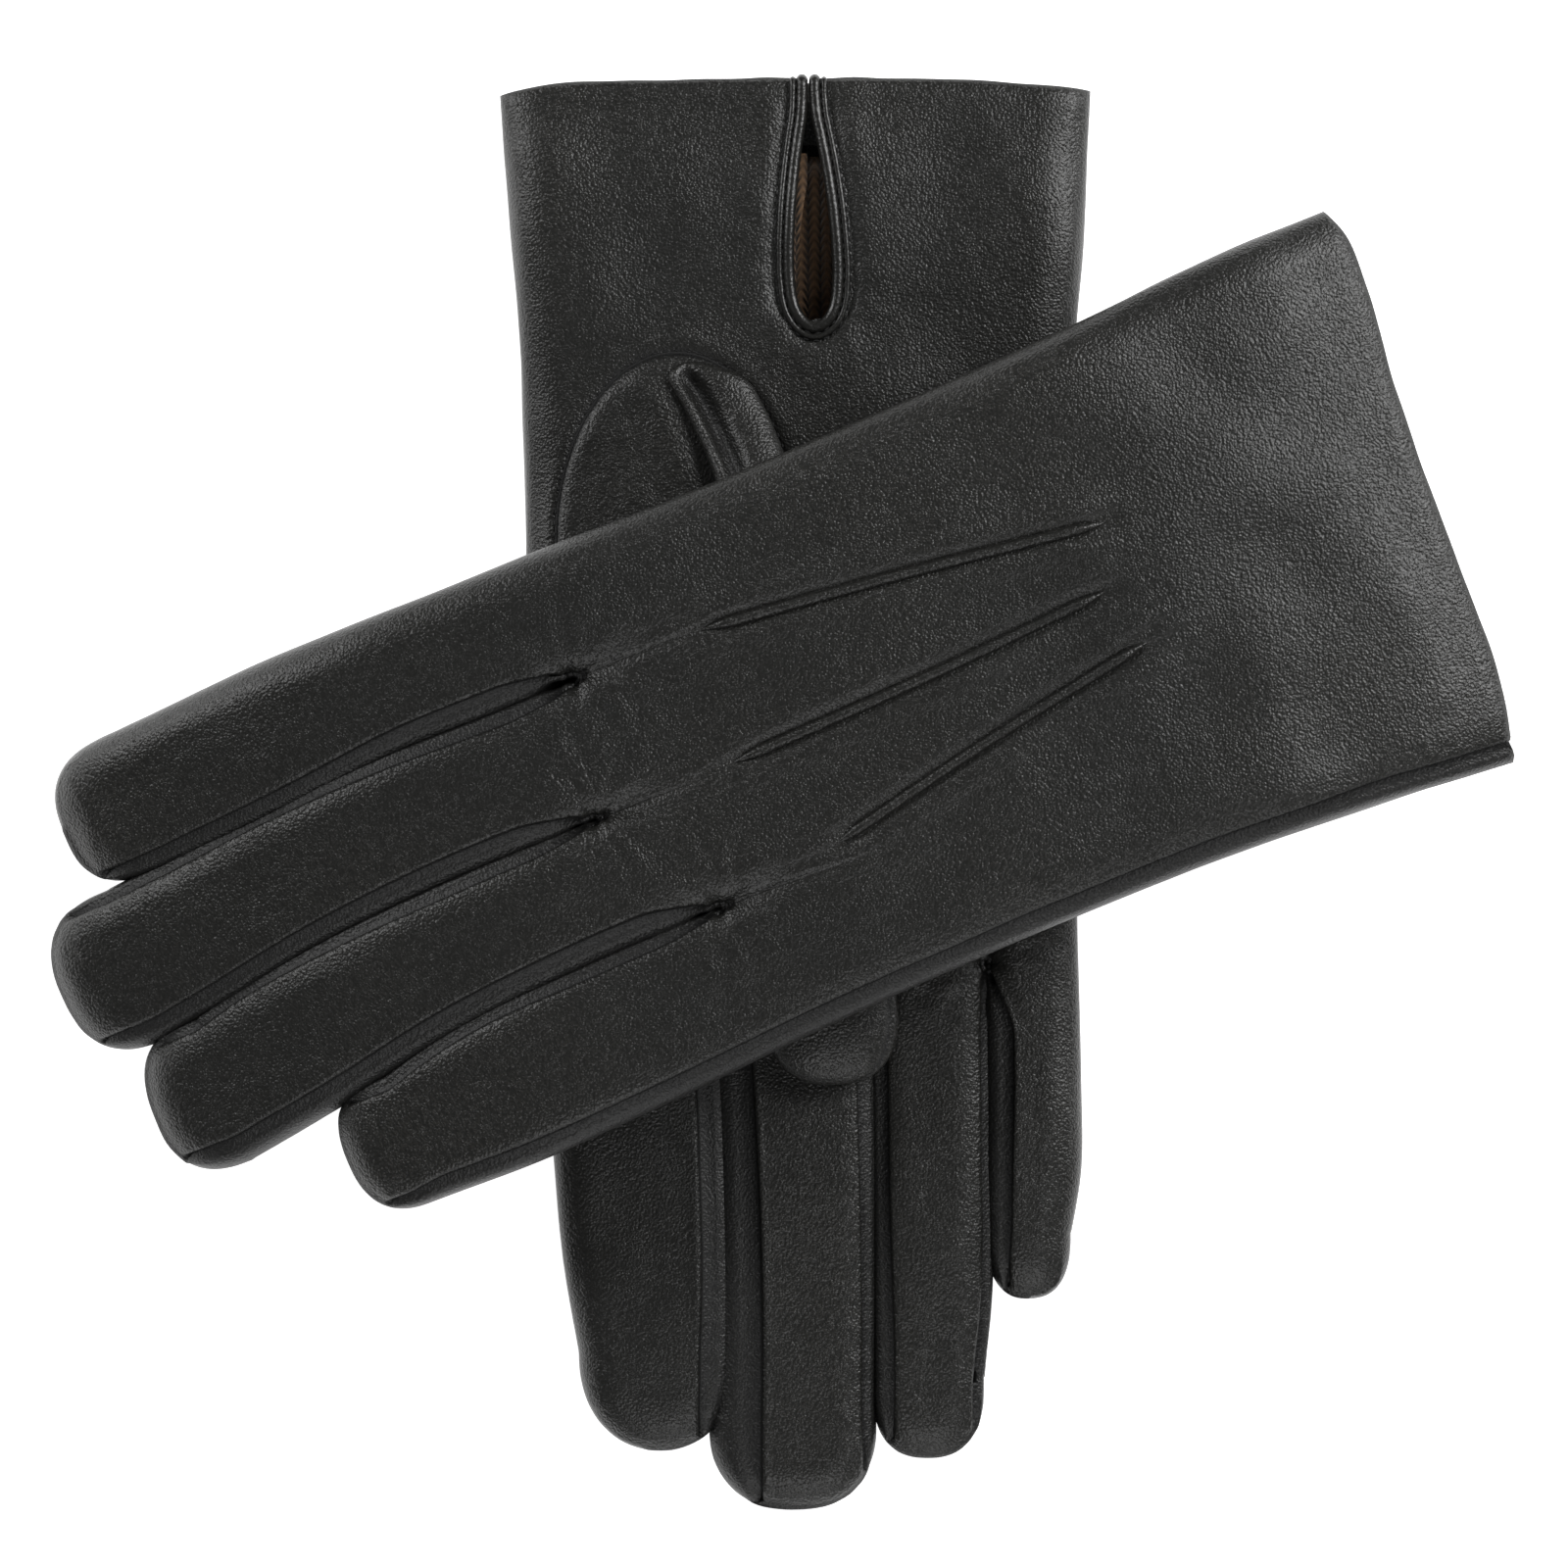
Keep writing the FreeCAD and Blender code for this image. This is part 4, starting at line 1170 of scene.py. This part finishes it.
def vent_path(side, gap, top, over):
    """A line at a distance from the vent's opening, down one side and up the other, in metres."""
    edge = smooth_line(MOUTH_EDGE[side], vent_middle(0))
    us = edge + 0.6 + (VENT_END - edge - 0.6) * np.sin(np.linspace(0, math.pi / 2, 110))
    half = np.interp(us, *zip(*VENT_OPEN))
    outline = np.stack((np.concatenate((us, us[-2::-1])), np.concatenate((-half, half[-2::-1]))), 1)
    for _ in range(6):
        outline[1:-1] = (outline[:-2] + outline[1:-1] * 2 + outline[2:]) / 4
    ahead = np.gradient(outline, axis=0)
    ahead /= np.linalg.norm(ahead, axis=1)[:, None]
    outline += gap * np.stack((ahead[:, 1], -ahead[:, 0]), 1)
    line = [(u, vent_middle(u) + v, top) for u, v in outline]
    if over:
        hook = [(edge + 2.0, -2.6), (edge + 0.5, -1.7), (edge + 0.3, -0.6)]
        line = ([(u, line[0][1], top + w) for u, w in hook] + line
                + [(u, line[-1][1], top + w) for u, w in hook[::-1]])
    u, v, w = np.array(line).T
    return lay(side, u, v, w + hills(side, u, v, w) - 0.75 * (1 - ease(u / 20.0)))


def on_back(side, us, vs, sunk):
    """Points on a glove's back, sunk by so much, in metres."""
    return lay(side, us, vs, -(THICK - sunk + hills(side, us, vs, -np.ones(len(us)))))


BINDING_TOP = THICK - 0.2
POINT_RADIUS = 0.95
PROUD = {"right": 0.0, "left": 0.75}      # the upper glove's points stand out, and nothing presses on them
for side in SIDES:
    rolls = []
    for gap, radius, top in ((BINDING, BINDING, BINDING_TOP), (2.6, BAND, BINDING_TOP + 0.1)):
        places = vent_path(side, gap, top, True)
        rolls.append(roll_mesh(places, np.full(len(places), radius * MM)))
    piece = new_piece(side + "_vent_roll", join_meshes(rolls), "binding_leather", [side + "_vent_binding"])
    follow(piece, side)
    tucks = []
    for line in POINT_LINES:
        t = np.linspace(0, 1, 60)
        fade = ease(t / 0.1) * ease((1 - t) / 0.1)
        us = line[0][0] + (line[-1][0] - line[0][0]) * t
        places = on_back(side, us, smooth_line(line, us), POINT_RADIUS - PROUD[side] + 0.5 * (1 - fade))
        tucks.append(roll_mesh(places, POINT_RADIUS * MM * np.clip(fade, 0.08, 1)))
    piece = new_piece(side + "_points", join_meshes(tucks), "black_leather", [side + "_back_points"])
    follow(piece, side)
    print(side, "vent roll and points made")

# %% [markdown]
# ## Stitches
# Each stitch is one small bead of thread, so a seam is a row of beads. They are laid along the
# lines that the shaped hide already has, and the ones beyond a finger's bend make a piece of their own.

# %% Rows of stitches
STITCH = (0.62, 0.17, 0.14)      # half length, width and height, in millimetres
PITCH = 2.1
STRAND_SUNK = 0.05               # of the strand under the stitches
POINT_STITCH_SUNK = {"right": 0.9, "left": 0.45}


def add_stitches(bm, points, normals, pitch=PITCH, size=STITCH):
    """Beads of thread at even distances along a line of points in metres."""
    points = np.asarray(points, float)
    steps = np.linalg.norm(np.diff(points, axis=0), axis=1)
    run = np.concatenate(([0], np.cumsum(steps))) / MM
    for at in np.arange(pitch / 2, run[-1], pitch):
        k = min(int(np.searchsorted(run, at)), len(run) - 1)
        share = (at - run[k - 1]) / max(run[k] - run[k - 1], 1e-6)
        spot = Vector(points[k - 1] + (points[k] - points[k - 1]) * share)
        ahead = Vector(points[k] - points[k - 1]).normalized()
        across = Vector(normals[k]).normalized().cross(ahead).normalized()
        turn = Matrix((ahead, across, ahead.cross(across))).transposed().to_4x4()
        grow = Matrix.Diagonal((*(c * MM for c in size), 1))
        bmesh.ops.create_icosphere(bm, subdivisions=1, radius=1.0,
                                   matrix=Matrix.Translation(spot) @ turn @ grow)


def add_strand(bm, points, normals, radius=0.2):
    """The thread that runs on in the bottom of a seam, between and under its stitches."""
    places = np.asarray(points, float) - np.asarray(normals, float) * STRAND_SUNK * MM
    strand = roll_mesh(places, np.full(len(places), radius * MM))
    bm.from_mesh(strand)
    bpy.data.meshes.remove(strand)


def add_row(bm, places, up, pitch, size=STITCH):
    """A row of stitches on a face that looks up (1) or down (-1)."""
    add_stitches(bm, places, np.tile((0, 0, up), (len(places), 1)), pitch, size)


def thread_piece(side, name, bm, nodes=(), finger=None):
    follow(new_piece("%s_%s" % (side, name), to_mesh(bm), "black_thread", nodes), side, finger)


for side in SIDES:
    hand = bmesh.new()
    ends = {finger: bmesh.new() for finger in FINGERS}
    for (seam_side, finger, edge, face), (points, normals, rows) in SEAMS.items():
        if seam_side != side:
            continue
        split = int(np.searchsorted(rows, cut_row(side, finger) + 3))
        if split > 3:
            add_stitches(hand, points[:split], normals[:split])
            add_strand(hand, points[:split + 1], normals[:split + 1])
        add_stitches(ends[finger], points[split:], normals[split:])
        add_strand(ends[finger], points[split:], normals[split:])
    thread_piece(side, "seam_stitches", hand, [side + "_side_seam_thread"])
    for finger, bm in ends.items():
        thread_piece(side, finger + "_stitches", bm, finger=finger)
    vent, arch, tucks = bmesh.new(), bmesh.new(), bmesh.new()
    for gap, top in ((2.02, THICK + 0.08), (3.25, THICK - 0.05)):
        add_row(vent, vent_path(side, gap, top, False), FACE[side], 1.7, (0.6, 0.19, 0.2))
    thread_piece(side, "vent_rows", vent, [side + "_vent_stitches"])
    mu, mv, half_u, half_v = OVAL
    angle = np.linspace(0, 2 * math.pi, 240)
    for out, top in ((0.1, THICK - 0.3), (0.5, THICK - 0.15)):
        us, vs = mu + (half_u + out) * np.cos(angle), mv + (half_v + out) * np.sin(angle)
        places = lay(side, us, vs, top + hills(side, us, vs, np.ones(240)))
        if out < 0.3:
            add_strand(arch, places, np.tile((0, 0, FACE[side]), (240, 1)), radius=0.3)
        else:
            add_row(arch, places, FACE[side], 2.0, (0.5, 0.2, 0.14))
    thread_piece(side, "arch_stitches", arch, [side + "_thumb_seam_thread"])
    for line in POINT_LINES:
        us = np.linspace(line[0][0] + 2, line[-1][0] - 2, 80)
        places = on_back(side, us, smooth_line(line, us) + 1.0, POINT_STITCH_SUNK[side])
        add_row(tucks, places, -FACE[side], 1.9)
    thread_piece(side, "point_stitches", tucks)
    print(side, "stitches made")

# %% [markdown]
# ## Table, light and camera
# A white table and soft light from all round show black leather best: its own colour is almost
# nothing, so what the eye reads is the sheen along its rims and folds. Three large lamps, high on the
# left, the right and in front, draw those highlights. The camera looks straight down.

# %% Stage
bm = bmesh.new()
bmesh.ops.create_grid(bm, x_segments=1, y_segments=1, size=3.0)
floor = bpy.data.objects.new("table_top", to_mesh(bm))
bpy.context.scene.collection.objects.link(floor)
white = bpy.data.materials.new("white_table")
white.use_nodes = True
paper = white.node_tree.nodes["Principled BSDF"]
paper.inputs["Base Color"].default_value = (0.9, 0.9, 0.9, 1)
paper.inputs["Roughness"].default_value = 0.8
paper.inputs["Emission Color"].default_value = (1, 1, 1, 1)
paper.inputs["Emission Strength"].default_value = 0.9
floor.data.materials.append(white)

CAMERA_HEIGHT = 1.05
VIEW_WIDTH = 0.272
camera_data = bpy.data.cameras.new("camera")
camera = bpy.data.objects.new("camera", camera_data)
bpy.context.scene.collection.objects.link(camera)
camera.location = (-0.0005, 0.0032, CAMERA_HEIGHT)
camera_data.lens = 36 * (CAMERA_HEIGHT - THICK * MM) / VIEW_WIDTH
bpy.context.scene.camera = camera


def lamp(name, place, size, energy):
    """A square soft lamp that faces the gloves."""
    light = bpy.data.lights.new(name, "AREA")
    light.energy, light.size = energy, size
    made = bpy.data.objects.new(name, light)
    made.location = place
    made.rotation_euler = (-Vector(place)).to_track_quat("-Z", "Y").to_euler()
    bpy.context.scene.collection.objects.link(made)


lamp("lamp_right", (0.62, 0.42, 0.6), 0.45, 7.2)
lamp("lamp_left", (-0.75, 0.45, 0.45), 0.4, 4)
lamp("lamp_front", (0.1, -0.8, 0.75), 0.6, 3.4)
world = bpy.data.worlds.new("studio")
bpy.context.scene.world = world
world.use_nodes = True
world.node_tree.nodes["Background"].inputs[0].default_value = (1, 1, 1, 1)
world.node_tree.nodes["Background"].inputs[1].default_value = 0.09
bpy.context.scene.view_settings.view_transform = "Standard"
